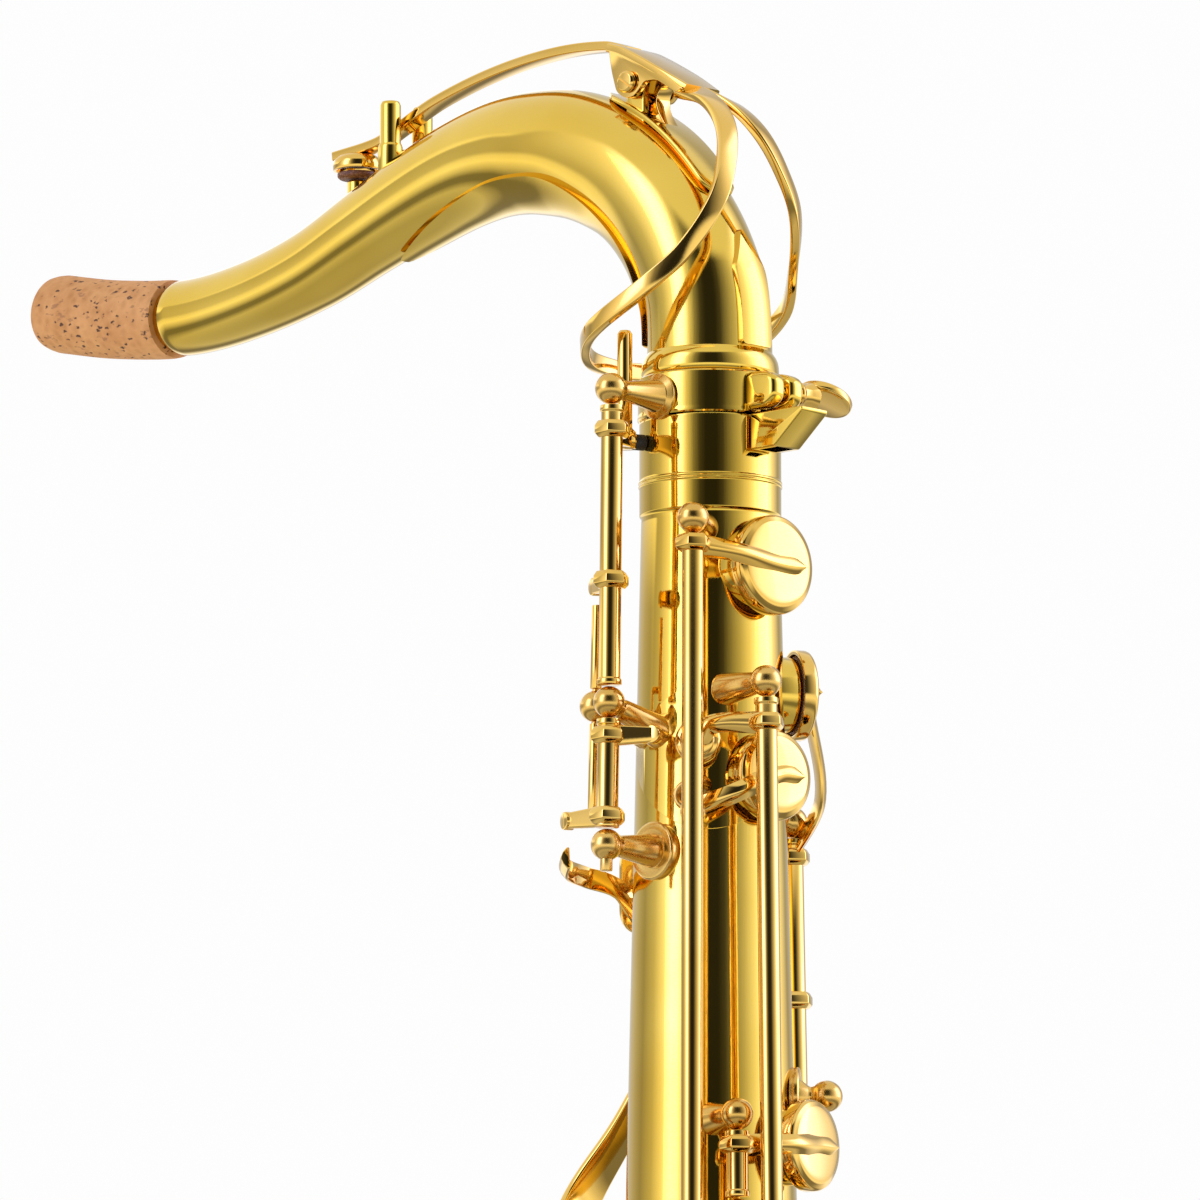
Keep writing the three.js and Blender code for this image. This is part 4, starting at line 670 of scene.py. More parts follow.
lamp("soft_left", turn=-58, height=700, reach=1800, size=0.8, power=3)
lamp("soft_right", turn=95, height=500, reach=1900, size=0.8, power=3)
print("lamps", 2)

# %% [markdown]
# ## Rod lines and tone holes
# Keys hinge on long rods that run beside the tube between ball posts. A line is named by its angle
# round the tube, its height above it and the depths of its posts. A tone hole is named by its
# angle, its depth and the size of the cup that covers it. These two tables are the layout of the
# key work, and nearly every post, rod, cup and chimney reads its place from them.

# %% Lines and holes
class Line:
    def __init__(self, angle, lift, *stops, slim=False, foot=None, drop=0, flanged=False):
        self.angle, self.lift, self.stops, self.slim = angle, lift, stops, slim
        self.foot = angle if foot is None else foot
        self.drop, self.flanged = drop, flanged
        self.ball, self.rod, self.hub = (2.2, 1.7, 3.0) if slim else (3.35, 2.3, 3.9)

    def at(self, depth):
        return on_tube(self.angle, self.lift, depth)


class Hole:
    """A tone hole: centre of its seat, the way out of it and the radius of its cup."""

    def __init__(self, angle, depth, cup, lift=2.2):
        self.cup = cup
        if angle is None:
            self.out = Vector((0, -1, 0))
            self.centre = bell_centre(depth) + self.out * (bell_radius(depth) + lift)
            self.inside = bell_centre(depth) + self.out * bell_radius(depth) / 2
        else:
            self.out, self.centre = radial(angle), on_tube(angle, lift, depth)
            self.inside = at(angle, 6, depth)


BELL_TOP, BELL_FOOT, BELL_RIM, BOW_SPAN, BELL_LEAN = 322, 600, 77.5, 108, 15
bell_flare = smooth_table([(0, 0.484), (0.4, 0.52), (0.62, 0.592), (0.78, 0.692), (0.88, 0.79),
                           (0.95, 0.892), (1, 1)])


def bell_share(depth):
    return (BELL_FOOT - depth) / (BELL_FOOT - BELL_TOP)


def bell_radius(depth):
    return BELL_RIM * bell_flare(bell_share(depth))


def bell_centre(depth):
    return Vector((BOW_SPAN + BELL_LEAN * bell_share(depth), 0, -depth))


RECEIVER_POST = 5.3
LINES = {
    "high_f_sharp": Line(-54, 13.3, 34, 385),
    "high_e": Line(-56, 5.6, 89, 372, slim=True),
    "body_octave": Line(-23, 13.4, 68.3, 184, foot=-35),
    "palm_f": Line(88, 8, 92, 165),
    "palm": Line(158, 11, 100, 127, 154, flanged=True),
    "thumb": Line(172, 5, 109, 246, slim=True),
    "octave": Line(-92, 14.2, 71.9, 102, drop=5, flanged=True),
    "rocker": Line(-110, 11.4, 71.5, drop=5),
    "upper": Line(-35, 9.2, 159, 180, 206, 241, 285, foot=-45),
    "lower": Line(-36, 10.4, 311, 350, 391, 436, 484),
    "g_sharp": Line(62, 10, 284, 318),
    "side_c": Line(-140, 9, 194, 352),
    "side_b_flat": Line(-116, 9, 222, 336),
    "little_finger": Line(-100, 11, 492, 541, 589),
    "low_b_flat": Line(-66, 23, 300, 470),
    "low_b": Line(-75, 23, 308, 528),
    "low_c_sharp": Line(-84, 23, 316, 584),
    "bumper": Line(40, 6.8, 152.5, flanged=True),
}
HOLES = {
    "high_f_sharp": Hole(-3, 41.8, 10.6), "palm_f": Hole(61, 66.6, 9.6),
    "high_e": Hole(-6, 86.6, 9.6), "body_octave": Hole(-54, 80, 4.8, 2.6),
    "palm_e_flat": Hole(120, 112, 9.4), "palm_d": Hole(120, 140, 10),
    "high_c": Hole(16, 164, 9.6), "b": Hole(14, 191, 10.6), "a": Hole(14, 223, 12),
    "g": Hole(14, 260, 14), "g_sharp": Hole(12, 297, 12.6), "f_sharp": Hole(14, 330, 15.6),
    "f": Hole(14, 370, 17), "e": Hole(14, 413, 18.6), "d": Hole(14, 460, 20),
    "low_e_flat": Hole(-42, 515, 18), "low_c": Hole(-42, 565, 20), "side_c": Hole(-104, 206, 8),
    "side_b_flat": Hole(-87, 236, 8.6), "low_c_sharp": Hole(None, 565, 21),
    "low_b": Hole(None, 508, 23), "low_b_flat": Hole(None, 452, 24),
}
BELL_HOLES = ("low_c_sharp", "low_b", "low_b_flat")
print("lines", len(LINES), "holes", len(HOLES))

# %% [markdown]
# ## Body tube
# The body is a cone of sheet brass. The top carries a thicker sleeve with turned ring lines. Each
# tone hole has a short chimney, and every hinge post is turned from rod and soldered on: a ball on
# a waisted stem, on a few lines with a round flange under it. The cone is a spun profile. The holes
# are cut with one Boolean, because a spin alone can't leave a hole in its side.

# %% Chimneys and posts
CHIMNEY_WALL, CUP_OVERHANG = 1.0, 1.6


def chimney(target, hole):
    outer = hole.cup - CUP_OVERHANG
    start = hole.centre - hole.out * 7
    inner = outer - CHIMNEY_WALL
    turned(target, [(inner, 0), (outer, 0), (outer, 7), (inner, 7)], start, hole.centre, 56, 0.2)


def bore_cutters(holes):
    cutter = bmesh.new()
    for hole in holes:
        rod_of(cutter, hole.inside, hole.centre + hole.out, hole.cup - CUP_OVERHANG - 0.5, 56, 0)
    return cutter


def post(target, line, depth):
    first = depth == line.stops[0]
    drop = line.drop if first else 0
    foot = on_tube(line.foot if first else line.angle, -0.8, depth + drop)
    centre = line.at(depth)
    height, ball = (centre - foot).length, line.ball
    flanged = line.flanged and not drop
    skirt = [(6.2, 0), (6.2, 1.7), (5.8, 2.1), (4.4, 2.1)] if flanged else [(3.5, 0)]
    low = 2.4 if flanged else 0.8
    wide, narrow = (3.5, 2.3) if not line.slim else (2.9, 1.4)
    shaft = [(wide + 0.1, low - 0.5), (wide, low), (narrow, max(height - ball * 1.15, low + 0.6)),
             (narrow - 0.25, height - ball * 1.02), (narrow - 0.25, height - ball * 0.93)]
    knob = arc(0, height, ball, ball, BALL_TURNS) + [(0, height + ball)]
    turned(target, [(0, 0)] + skirt + shaft + knob, foot, centre, 40, 0.15)


print("posts", sum(len(line.stops) for line in LINES.values()))

# %% Body tube
body = bmesh.new()
wall = 1.0
profile = [(13.3, 9.5), (15.0, 9.5), (15.0, 9.9), (15.0, 21.6), (15.0, 22.0), (15.2, 22.15),
           (15.2, 22.5), (15.02, 22.6), (15.02, 22.85), (15.2, 22.95), (15.2, 23.25), (15.0, 23.4),
           (15.0, 23.8), (15.0, 28.9), (15.0, 29.3), (14.7, 29.6), (14.55, 30)]
profile += [(tube_radius(depth), depth) for depth in range(31, 601, 19)]
profile += [(tube_radius(600) - wall, 600), (tube_radius(31) - wall, 31), (13.3, 22.4)]
turned(body, profile, Vector(), Vector((0, 0, -1)), 96, 0.12)
carved(body, bore_cutters([hole for name, hole in HOLES.items() if name not in BELL_HOLES]))
for name, hole in HOLES.items():
    if name not in BELL_HOLES:
        chimney(body, hole)
dressed(body, "body_tube_skin", "body_tube")

# %% Posts
posts = bmesh.new()
for line in LINES.values():
    for depth in line.stops:
        post(posts, line, depth)
rod_of(posts, LINES["octave"].at(102), LINES["octave"].at(107.6), 1.3)
dressed(posts, "body_posts", None, "body", "satin_brass")

# %% [markdown]
# A thin round plate is soldered to the tube round the small vent, to spread the pull of the posts
# beside it, and a small turned ring stands on it below the vent. The plate is only a third of a
# millimetre thick, but its edge catches the light. It is a sleeve just larger than the tube, cut
# to a circle.

# %% Plate and ring by the vent
PLATE_TURN, PLATE_DEPTH, PLATE_RADIUS, RING_TURN = -48, 82.5, 15.4, -62
PLATE_TOP, PLATE_FOOT, PLATE_LIFT, PLATE_SUNK = 62, 103, 0.35, 0.5
sleeve = bmesh.new()
turned(sleeve, [(tube_radius(PLATE_TOP) - PLATE_SUNK, PLATE_TOP),
                (tube_radius(PLATE_TOP) + PLATE_LIFT, PLATE_TOP),
                (tube_radius(PLATE_FOOT) + PLATE_LIFT, PLATE_FOOT),
                (tube_radius(PLATE_FOOT) - PLATE_SUNK, PLATE_FOOT)],
       Vector(), -UPWARD, 120, 0)
round_cutter = bmesh.new()
rod_of(round_cutter, at(PLATE_TURN, 3, PLATE_DEPTH), at(PLATE_TURN, 40, PLATE_DEPTH), PLATE_RADIUS,
       96, 0)
carved(sleeve, round_cutter, "INTERSECT")
dressed(sleeve, "vent_plate", None)
RING_FOOT = on_tube(RING_TURN, 0.1, 91)
vent_ring = bmesh.new()
turned(vent_ring, [(1.9, 0), (3.3, 0), (3.3, 1.6), (2.9, 2.1), (2.3, 2.1), (1.9, 1.6)], RING_FOOT,
       RING_FOOT + radial(RING_TURN), 48, 0.1)
dressed(vent_ring, "vent_ring", None, "body", "satin_brass")

# %% [markdown]
# ## Receiver clamp, thumb screw and lyre socket
# A split collar at the top of the body grips the neck. Two lugs stand out where it is split, and
# a screw with a flat thumb paddle pulls them together. Under the lugs is the wedge shaped socket
# that holds a lyre for music cards. The collar is a profile spun through nearly a full turn,
# which leaves the slot open, and the lugs are plates with soft edges.

# %% Receiver clamp
CLAMP_HEIGHT, SLOT = 9.1, 1.6


def standing(origin, across, up):
    """A placing matrix whose x axis runs across and whose y axis runs up."""
    across, up = Vector(across).normalized(), Vector(up).normalized()
    return Matrix.Translation(origin) @ Matrix((across, up, across.cross(up))).transposed().to_4x4()


BELL_PLANE = standing((0, 0, 0), (1, 0, 0), (0, 0, 1))


def rounded_outline(corners, radius, steps=5):
    """Rounds each corner of an outline with a small arc."""
    outline = []
    for index, corner in enumerate(corners):
        corner = Vector(corner)
        before = Vector(corners[index - 1]) - corner
        after = Vector(corners[(index + 1) % len(corners)]) - corner
        reach = min(radius, before.length * 0.48, after.length * 0.48)
        start, end = corner + before.normalized() * reach, corner + after.normalized() * reach
        for step in range(steps + 1):
            share = step / steps
            left = 1 - share
            outline.append(start * left ** 2 + corner * 2 * share * left + end * share ** 2)
    return [tuple(point) for point in outline]


def oblong(width, height, radius, steps=5):
    """A rounded outline of this width and height round the middle."""
    x, y = width / 2, height / 2
    return rounded_outline([(-x, -y), (x, -y), (x, y), (-x, y)], radius, steps)


clamp = bmesh.new()
ring_profile = [(13.3, 0.4), (13.9, 0), (14.9, 0), (15.3, 0.4), (15.3, 0.8), (15.3, 7.6), (15.3, 8.0),
                (15.4, 8.3), (15.4, 8.8), (15.1, CLAMP_HEIGHT), (13.3, CLAMP_HEIGHT)]
half_slot = 3.2
collar = bmesh.new()
verts = [collar.verts.new((reach * cos(radians(half_slot)), reach * sin(radians(half_slot)), -depth))
         for reach, depth in ring_profile]
face = collar.faces.new(verts)
bmesh.ops.spin(collar, geom=[face], cent=(0, 0, 0), axis=(0, 0, 1), angle=radians(360 - 2 * half_slot),
               steps=96, use_merge=False)
closed(collar)
merged(clamp, collar)
lug_outline = rounded_outline([(13.9, -0.4), (19.5, -0.7), (22.9, -2.2), (22.9, -6.8), (20.4, -8.6),
                               (13.9, -8.7)], 2.2)
for side in (-1, 1):
    plate(clamp, lug_outline, 4.0, standing((0, side * (SLOT + 4.0) / 2, 0), (1, 0, 0), (0, 0, 1)), 1.2)
dressed(clamp, "receiver_collar", "receiver_clamp")
receiver_post = bmesh.new()
clamp_post = Line(-92, 14.6, RECEIVER_POST)
centre, foot = clamp_post.at(RECEIVER_POST), on_tube(clamp_post.angle, 0.2, RECEIVER_POST)
height, ball = (centre - foot).length, clamp_post.ball
stem = [(0, 0), (4.9, 0), (4.9, 0.9), (3.4, 1.5), (2.1, height - 4.4), (2.2, height - 2.9)]
knob = arc(0, height, ball, ball, BALL_TURNS) + [(0, height + ball)]
turned(receiver_post, stem + knob, foot, centre, 40, 0.15)
dressed(receiver_post, "receiver_post", None, "body", "satin_brass")

# %% Thumb screw and lyre socket
screw = bmesh.new()
screw_axis = Vector((19.6, 0, -4.7))
LEAN = radians(27)
rod_of(screw, screw_axis + PLAYER_LEFT * 9.6, screw_axis - PLAYER_LEFT * 3.8, 1.7)
turned(screw, [(0, 0), (2.6, 0), (2.9, 0.6), (2.3, 1.6), (2.6, 3.4), (3.4, 5.0), (0, 5.0)],
       screw_axis + PLAYER_LEFT * 4.9, screw_axis + PLAYER_LEFT * 9.6, 32, 0.15)
paddle = screw_axis + PLAYER_LEFT * 14.4
paddle_up = Vector((0, sin(LEAN), cos(LEAN)))
turned(screw, [(0, -1.0), (5.0, -1.0), (5.7, -0.85), (6.0, -0.5), (6.0, 0.6), (5.75, 1.0), (5.3, 1.0),
               (4.9, 0.7), (0, 0.6)], paddle, paddle + paddle_up, 64, 0.1)
dressed(screw, "thumb_screw", "clamp_screw", "body", "rose_brass")

lyre = bmesh.new()
socket_outline = rounded_outline([(15.3, -9.5), (30.2, -9.5), (30.2, -10.4), (22.1, -17.1),
                                  (15.3, -17.1)], 0.6)
plate(lyre, socket_outline, 8, BELL_PLANE, 0.8)
carved(lyre, box_of((5.2, 5.2, 31.2), (19.2, 0, -14)))
dressed(lyre, "lyre_holder", "lyre_socket")

# %% [markdown]
# ## Neck
# The neck is a tapered tube bent in one long curve. It slides into the receiver by a tenon, with a
# rounded bead above the joint, and ends in a short thin tube wrapped in cork. The centreline is
# given as shares of its reach and rise, and a drawn tube follows it with its own taper. Bending a
# straight cone with a modifier would also work, but the curve would be harder to match.

# %% Neck curve
NECK_REACH, NECK_RISE, NECK_RADIUS = 201, 57, 13.3
NECK_CENTRE = [(0, 0.02), (-0.0025, 0.263), (-0.011, 0.379), (-0.037, 0.56), (-0.075, 0.724),
               (-0.118, 0.84), (-0.184, 0.947), (-0.249, 0.993), (-0.305, 0.998), (-0.364, 0.965),
               (-0.431, 0.896), (-0.51, 0.797), (-0.592, 0.693), (-0.69, 0.619), (-0.786, 0.593),
               (-0.9, 0.635), (-1, 0.705)]
neck_taper = smooth_table([(0, 1), (0.14, 0.98), (0.3, 0.99), (0.36, 0.94), (0.42, 0.87), (0.5, 0.79),
                           (0.6, 0.7), (0.7, 0.645), (0.8, 0.63), (1, 0.62)])
CORK_FROM = 0.828
PIVOT = Vector((-18, 0, 66))
PIP_REACH, FORK_REACH, FORK_SPAN = 106, 91, 9.8


def neck_radius(share):
    return NECK_RADIUS * neck_taper(share)


def in_plane(pairs):
    return [(a * NECK_REACH, 0, u * NECK_RISE) for a, u in pairs]


def above_neck(reach, height, aside=0):
    return Vector((-reach, aside, height))


neck_line = evened(smooth_path(in_plane(NECK_CENTRE)), 160)
print("neck points", len(neck_line))

# %% Neck tube
neck = bmesh.new()
tube_end = round(len(neck_line) * (CORK_FROM - 0.002))
outer_line = neck_line[:tube_end + 1]


def bright_radius(share):
    radius = neck_radius(share * CORK_FROM)
    return radius - 0.5 * max(0, share - 0.992) / 0.008


drawn(neck, outer_line, PLAYER_LEFT, bright_radius, 0.9, 72)
drawn(neck, neck_line[tube_end - 6:], PLAYER_LEFT, lambda share: 7.2, 0.9, 56)
turned(neck, [(11.9, 0), (12.9, 0), (12.9, 21), (14.2, 21.2), (14.55, 21.8), (14.6, 22.6), (14.55, 23.6),
              (14.35, 24.6), (14.0, 25.4), (13.6, 26.0), (13.35, 26.3), (13.3, 26.5), (11.9, 26.5)],
       Vector((0, 0, -21)), Vector((0, 0, 0)), 96, 0.1)
turned(neck, [(1.2, 0), (3.6, 0), (3.4, 1.2), (2.3, 2.2), (2.3, 7.2), (2.0, 7.6), (1.2, 7.6)],
       above_neck(PIP_REACH, 49.8), above_neck(PIP_REACH, 57.4), 32, 0.1)
turned(neck, [(0, 0), (4.9, 0), (4.9, 1.6), (4.4, 2.0), (4.4, 3.6), (0, 3.6)],
       above_neck(FORK_REACH, 58.0), above_neck(FORK_REACH, 66), 6, 0.3)
for side in (-1, 1):
    foot = above_neck(FORK_REACH, 56, side * FORK_SPAN / 2)
    turned(neck, [(0, 0), (2.7, 0), (2.7, 6.0), (2.5, 6.6), (2.3, 7.0), (2.3, 15.3), (1.9, 16.2),
                  (0, 16.5)], foot, foot + UPWARD, 28, 0.15)
block = box_of((5.4, 8.4, 16), (PIVOT.x, 0, 60.6))
soften(block, 0.5, 3)
eye = bmesh.new()
rod_of(eye, PIVOT - PLAYER_LEFT * 8, PIVOT + PLAYER_LEFT * 8, 1.7, 32, 0)
carved(block, eye)
merged(neck, block)
dressed(neck, "neck_skin", "neck_tube", "neck", "brass")

# %% Cork
cork = bmesh.new()
cork_line = neck_line[tube_end + 1:]


def cork_radius(share):
    """Full thickness, with its outer end worn round and its inner edge cut square."""
    return 8.75 - 0.6 * max(0, share - 0.94) / 0.06 - 0.15 * max(0, 0.04 - share) / 0.04


drawn(cork, cork_line, PLAYER_LEFT, cork_radius, 1.4, 72)
dressed(cork, "neck_cork_sleeve", "neck_cork", "neck", "cork")

# %% [markdown]
# ## Strip and plate on the neck
# A thin strip of brass is soldered under the bend to stiffen it, and a small pointed plate
# decorates the front of the foot. Both lie snug on the tube. The easy way to make a snug plate is
# to grow the tube by its thickness and keep only what falls inside the plate's outline.

# %% Plates that hug the neck
HUG_GAP, HUG_PLATE = 0.3, 1.0
STRIP_EDGE = [(-0.454, 0.66), (-0.371, 0.777), (-0.303, 0.842), (-0.251, 0.854), (-0.194, 0.828),
              (-0.144, 0.737), (-0.1, 0.6), (-0.073, 0.472), (-0.06, 0.347), (-0.06, 0.14)]
PLATE_EDGE = [(-0.33, 0.1), (-0.33, 0.4), (0, 0.56), (0.33, 0.4), (0.33, 0.1)]


def hugging(outline, frame, name, node):
    shell = bmesh.new()
    drawn(shell, outer_line, PLAYER_LEFT,
          lambda share: neck_radius(share * CORK_FROM) + HUG_GAP + HUG_PLATE, HUG_PLATE, 72)
    cutter = bmesh.new()
    plate(cutter, outline, 4 * NECK_RADIUS, frame, 0)
    carved(shell, cutter, "INTERSECT")
    dressed(shell, name, node, "neck", "brass")


edge_curve = smooth_path([(a * NECK_REACH, u * NECK_RISE, 0) for a, u in STRIP_EDGE], 6)
corner = (STRIP_EDGE[0][0] * NECK_REACH, STRIP_EDGE[-1][1] * NECK_RISE)
hugging([corner] + [(p.x, p.y) for p in edge_curve], BELL_PLANE,
        "neck_strip", "neck_brace")
plate_outline = rounded_outline([(a * NECK_RADIUS, u * NECK_RISE) for a, u in PLATE_EDGE], 1.2)
hugging(plate_outline, standing((2 * NECK_RADIUS, 0, 0), (0, 1, 0), (0, 0, 1)),
        "neck_foot_plate", "neck_shield")

# %% [markdown]
# ## Neck octave key
# One long key lies along the top of the neck. Its pad closes a small pip. Behind a fork it runs
# up to a saddle that rocks on a pivot screw, and the saddle splits into two flat bands. They ring
# the foot of the neck, so that a pin on the body can lift the pad whichever way the neck is
# turned. The bars change in width along their length, so each is one swept section.

# %% Neck octave key
LEVER = [(-0.556, 1.112), (-0.492, 1.135), (-0.462, 1.172), (-0.401, 1.253), (-0.31, 1.323),
         (-0.221, 1.351), (-0.146, 1.337), (-0.112, 1.3)]
SADDLE = [(-0.122, 1.308), (-0.1, 1.28), (-0.05, 1.183), (-0.012, 1.1)]
LOOP = [(-0.03, -0.008, 1.11), (0.016, -0.016, 1.04), (0.047, -0.026, 0.93), (0.063, -0.041, 0.79),
        (0.067, -0.06, 0.625), (0.041, -0.084, 0.43), (0.006, -0.107, 0.302), (-0.058, -0.112, 0.184),
        (-0.094, -0.092, 0.139), (-0.12, -0.056, 0.105), (-0.131, 0, 0.093)]
octave_key = bmesh.new()
swept(octave_key, smooth_path(in_plane(LEVER)), UPWARD, bar_section(4.4, 2.0, 0.3), None, 0.0)
saddle_width = smooth_table([(0, 1), (0.7, 1), (1, 0.84)])
swept(octave_key, smooth_path(in_plane(SADDLE)), UPWARD, bar_section(12.4, 2.0, 0.5),
      lambda share: (saddle_width(share), 1))
band_width = smooth_table([(0, 1.3), (0.12, 1.3), (0.3, 1.05), (0.6, 0.92), (1, 0.95)])


def from_neck(place):
    return Vector((place.x + 10, place.y, 0)) + UPWARD * 0.15


EAR = [(-1.2, -3.3), (1.4, -3.3), (3.0, -2.0), (4.6, -0.3), (8.2, -0.5), (14.0, -4.2), (15.6, -3.4),
       (8.0, 2.2), (1.4, 5.6), (-6.0, 8.7), (-5.0, 3.0), (-3.6, -1.6)]
for side in (-1, 1):
    band = [(a * NECK_REACH, -side * s * NECK_REACH, u * NECK_RISE) for a, s, u in LOOP]
    swept(octave_key, smooth_path(band, 10), from_neck, bar_section(4.0, 2.0, 0.4),
          lambda share: (band_width(share), 1))
    ear_place = PIVOT + Vector((0, side * 5.45, 0))
    plate(octave_key, rounded_outline(EAR, 1.1), 1.5, standing(ear_place, (1, 0, 0), (0, 0, 1)), 0.25)
turned(octave_key, [(0, 1.6), (4.6, 1.6), (4.6, 0), (5.3, 0), (5.4, 1.2), (5.2, 2.2), (4.4, 3.1),
                    (2.8, 3.7), (0, 3.9)],
       above_neck(PIP_REACH, 59.6), above_neck(PIP_REACH, 62), 56, 0.15)
dressed(octave_key, "neck_octave_bar", "neck_octave_key", "neck_octave_key", "rose_brass")

pad = bmesh.new()
turned(pad, [(0, 0), (3.8, 0), (4.4, 0.5), (4.4, 1.4), (0, 1.4)], above_neck(PIP_REACH, 57.7),
       above_neck(PIP_REACH, 60), 40, 0.2)
dressed(pad, "neck_octave_pad_disc", "neck_octave_pad", "neck_octave_key", "leather")

# %% Crest plate and flat spring
CREST_FROM, CREST_TO, CREST_LIFT = -33, -7, 0.55
crest_path = []
for n, (place, ahead) in enumerate(zip(neck_line, neck_line[1:])):
    if CREST_FROM < place.x < CREST_TO:
        above = Vector(((ahead - place).z, 0, (place - ahead).x)).normalized()
        crest_path.append(place + above * (neck_radius(n / len(neck_line)) + CREST_LIFT))
crest_width = smooth_table([(0, 0.5), (0.15, 1), (0.8, 1), (1, 0.35)])
crest_plate = bmesh.new()
swept(crest_plate, crest_path, UPWARD, bar_section(11, 1.2, 0.4), lambda share: (crest_width(share), 1))
dressed(crest_plate, "neck_crest_plate", None, "neck", "brass")
spring = bmesh.new()
swept(spring, smooth_path([(-9.5, 0, 53.8), (-13.8, 0, 61.0), (-12.6, 0, 64.6), (-9.0, 0, 65.0)], 8),
      Vector((-1, 0, 0.6)), bar_section(4, 0.45, 0.1), None)
dressed(spring, "neck_key_spring", None, "neck", "rose_brass")

# %% Pivot screw
pivot_screw = bmesh.new()
rod_of(pivot_screw, PIVOT + Vector((0, 6.5, 0)), PIVOT + Vector((0, -6.6, 0)), 1.4)
turned(pivot_screw, [(0, 0), (2.4, 0), (2.4, 0.7), (1.9, 1.15), (0, 1.2)], PIVOT + Vector((0, -6.5, 0)),
       PIVOT + Vector((0, -8, 0)), 32, 0.1)
slot_turn = Matrix.Rotation(radians(35), 3, "Y")
carved(pivot_screw, box_of((6, 1.2, 0.55), PIVOT + Vector((0, -7.8, 0)), slot_turn))
dressed(pivot_screw, "pivot_screw", "neck_pivot_screw", "neck", "rose_brass")

# %% [markdown]
# ## Keys
# Every key is built the same way: a hinge tube between two posts, hexagonal collars on it, an arm
# that bends over the edge of the cup and ends in a point on its face, a crowned cup with a leather
# pad under it, and on many of them a touch plate or a pearl for the finger. So one builder makes
# them all from a row of places. Keys that stand open at rest are turned about their rod, as
# springs do.

# %% Parts of a key
CUP_HEIGHT, ARM_WIDTH, ARM_THICK, PAD_THICK, SEAT_GAP = 3.4, 4.6, 1.9, 1.4, 0.3


def outward(place):
    return Vector((place.x, place.y, 0))


def hinge_tube(target, line, top, foot, collars):
    reach = line.ball + 0.3
    start, end = line.at(top + reach), line.at(foot - reach)
    length = (end - start).length
    r = line.rod
    cuff = r * 1.12
    turned(target, [(0, 0), (cuff, 0), (cuff, 1.1), (r, 1.4), (r, length - 1.4), (cuff, length - 1.1),
                    (cuff, length), (0, length)], start, end, 36, 0.12)
    along = (end - start).normalized()
    for depth in collars:
        middle = line.at(depth)
        turned(target, [(0, 0), (line.hub * 0.78, 0), (line.hub, 0.9), (line.hub, 2.5),
                        (line.hub * 0.82, 3.6), (0, 3.6)],
               middle + along * 1.8, middle - along * 1.8, 6, 0.2, 2)


def on_seat(target, hole, profile, segments):
    """A turned part that stands on the hole's seat."""
    turned(target, profile, hole.centre + hole.out * SEAT_GAP, hole.centre + hole.out * 9, segments, 0.1)


def cup(target, hole):
    r, h = hole.cup, CUP_HEIGHT
    dome = arc(0, h - 0.15, r - 1.2, 0.75, DOME_TURNS)
    recess = PAD_THICK + SEAT_GAP
    profile = [(0, recess), (r - 0.9, recess), (r - 0.9, 0), (r, 0), (r, h - 1.2), (r - 0.2, h - 0.65),
               (r - 0.6, h - 0.3)] + dome + [(0, h + 0.6)]
    on_seat(target, hole, profile, 72)


def pad_disc(target, hole):
    r = hole.cup - 1.2
    on_seat(target, hole, [(0, 0.15), (r - 3.0, 0.15), (r - 2.2, 0), (r - 0.5, 0), (r, 0.5),
                           (r, PAD_THICK), (0, PAD_THICK)], 56)


arm_taper = smooth_table([(0, 1.05), (0.35, 0.9), (0.6, 1.0), (0.86, 1.0), (1, 0.25)])


def cup_arm(target, hinge, hole, via):
    level = hole.centre + hole.out * (SEAT_GAP + CUP_HEIGHT + ARM_THICK / 4)
    side = hinge - hole.centre
    side.z = 0
    side = (side - hole.out * side.dot(hole.out)).normalized()
    knee = level + side * hole.cup * 1.06
    knee.z = (hinge.z + level.z) / 2
    tip = level - side * hole.cup * 0.66
    bend = on_tube(*via) if via else knee
    path = smooth_path([hinge, bend, level, tip], 12)
    swept(target, path, lambda place: hole.out, ridge_section(ARM_WIDTH, ARM_THICK),
          lambda share: (arm_taper(share), 1), 0.2)


def touch_arm(target, line, depth, place, broad=0):
    angle, lift, low = place[:3]
    points = [line.at(depth)]
    for share in (0.3, 0.6, 0.85):
        points.append(on_tube(line.angle + (angle - line.angle) * share,
                              line.lift + (lift - line.lift) * min(share * 1.6, 1),
                              depth + (low - depth) * share))
    points.append(on_tube(angle, lift, low))
    if broad:
        widening = smooth_table([(0, 0.5), (0.25, 0.6), (0.7, 1), (1, 1.1)])
        swept(target, smooth_path(points, 10), outward, bar_section(broad, ARM_THICK, 0.7),
              lambda share: (widening(share), 1))
    else:
        swept(target, smooth_path(points, 10), outward, ridge_section(ARM_WIDTH, ARM_THICK), None, 0.2)


def touch_plate(target, place):
    angle, lift, depth, width, length = place
    part = bmesh.new()
    verts = [part.verts.new((x, y, -1.0)) for x, y in oblong(width, length, width / 2, 8)]
    made = bmesh.ops.extrude_face_region(part, geom=[part.faces.new(verts)])["geom"]
    raised = [item for item in made if isinstance(item, bmesh.types.BMVert)]
    bmesh.ops.translate(part, verts=raised, vec=(0, 0, 1.4))
    top = [item for item in made if isinstance(item, bmesh.types.BMFace)]
    for inset, rise in ((0.7, 0.45), (1.2, 0.15)):
        bmesh.ops.inset_region(part, faces=top, thickness=inset, depth=0)
        bmesh.ops.translate(part, verts=list({v for f in top for v in f.verts}), vec=(0, 0, rise))
    closed(part)
    soften(part, 0.35, 2)
    frame = Matrix((tangent(angle), UPWARD, radial(angle))).transposed().to_4x4()
    part.transform(Matrix.Translation(on_tube(angle, lift, depth)) @ frame)
    merged(target, part)


print("key parts ready")

# %% Finger pearls
PEARL_RISE = 6


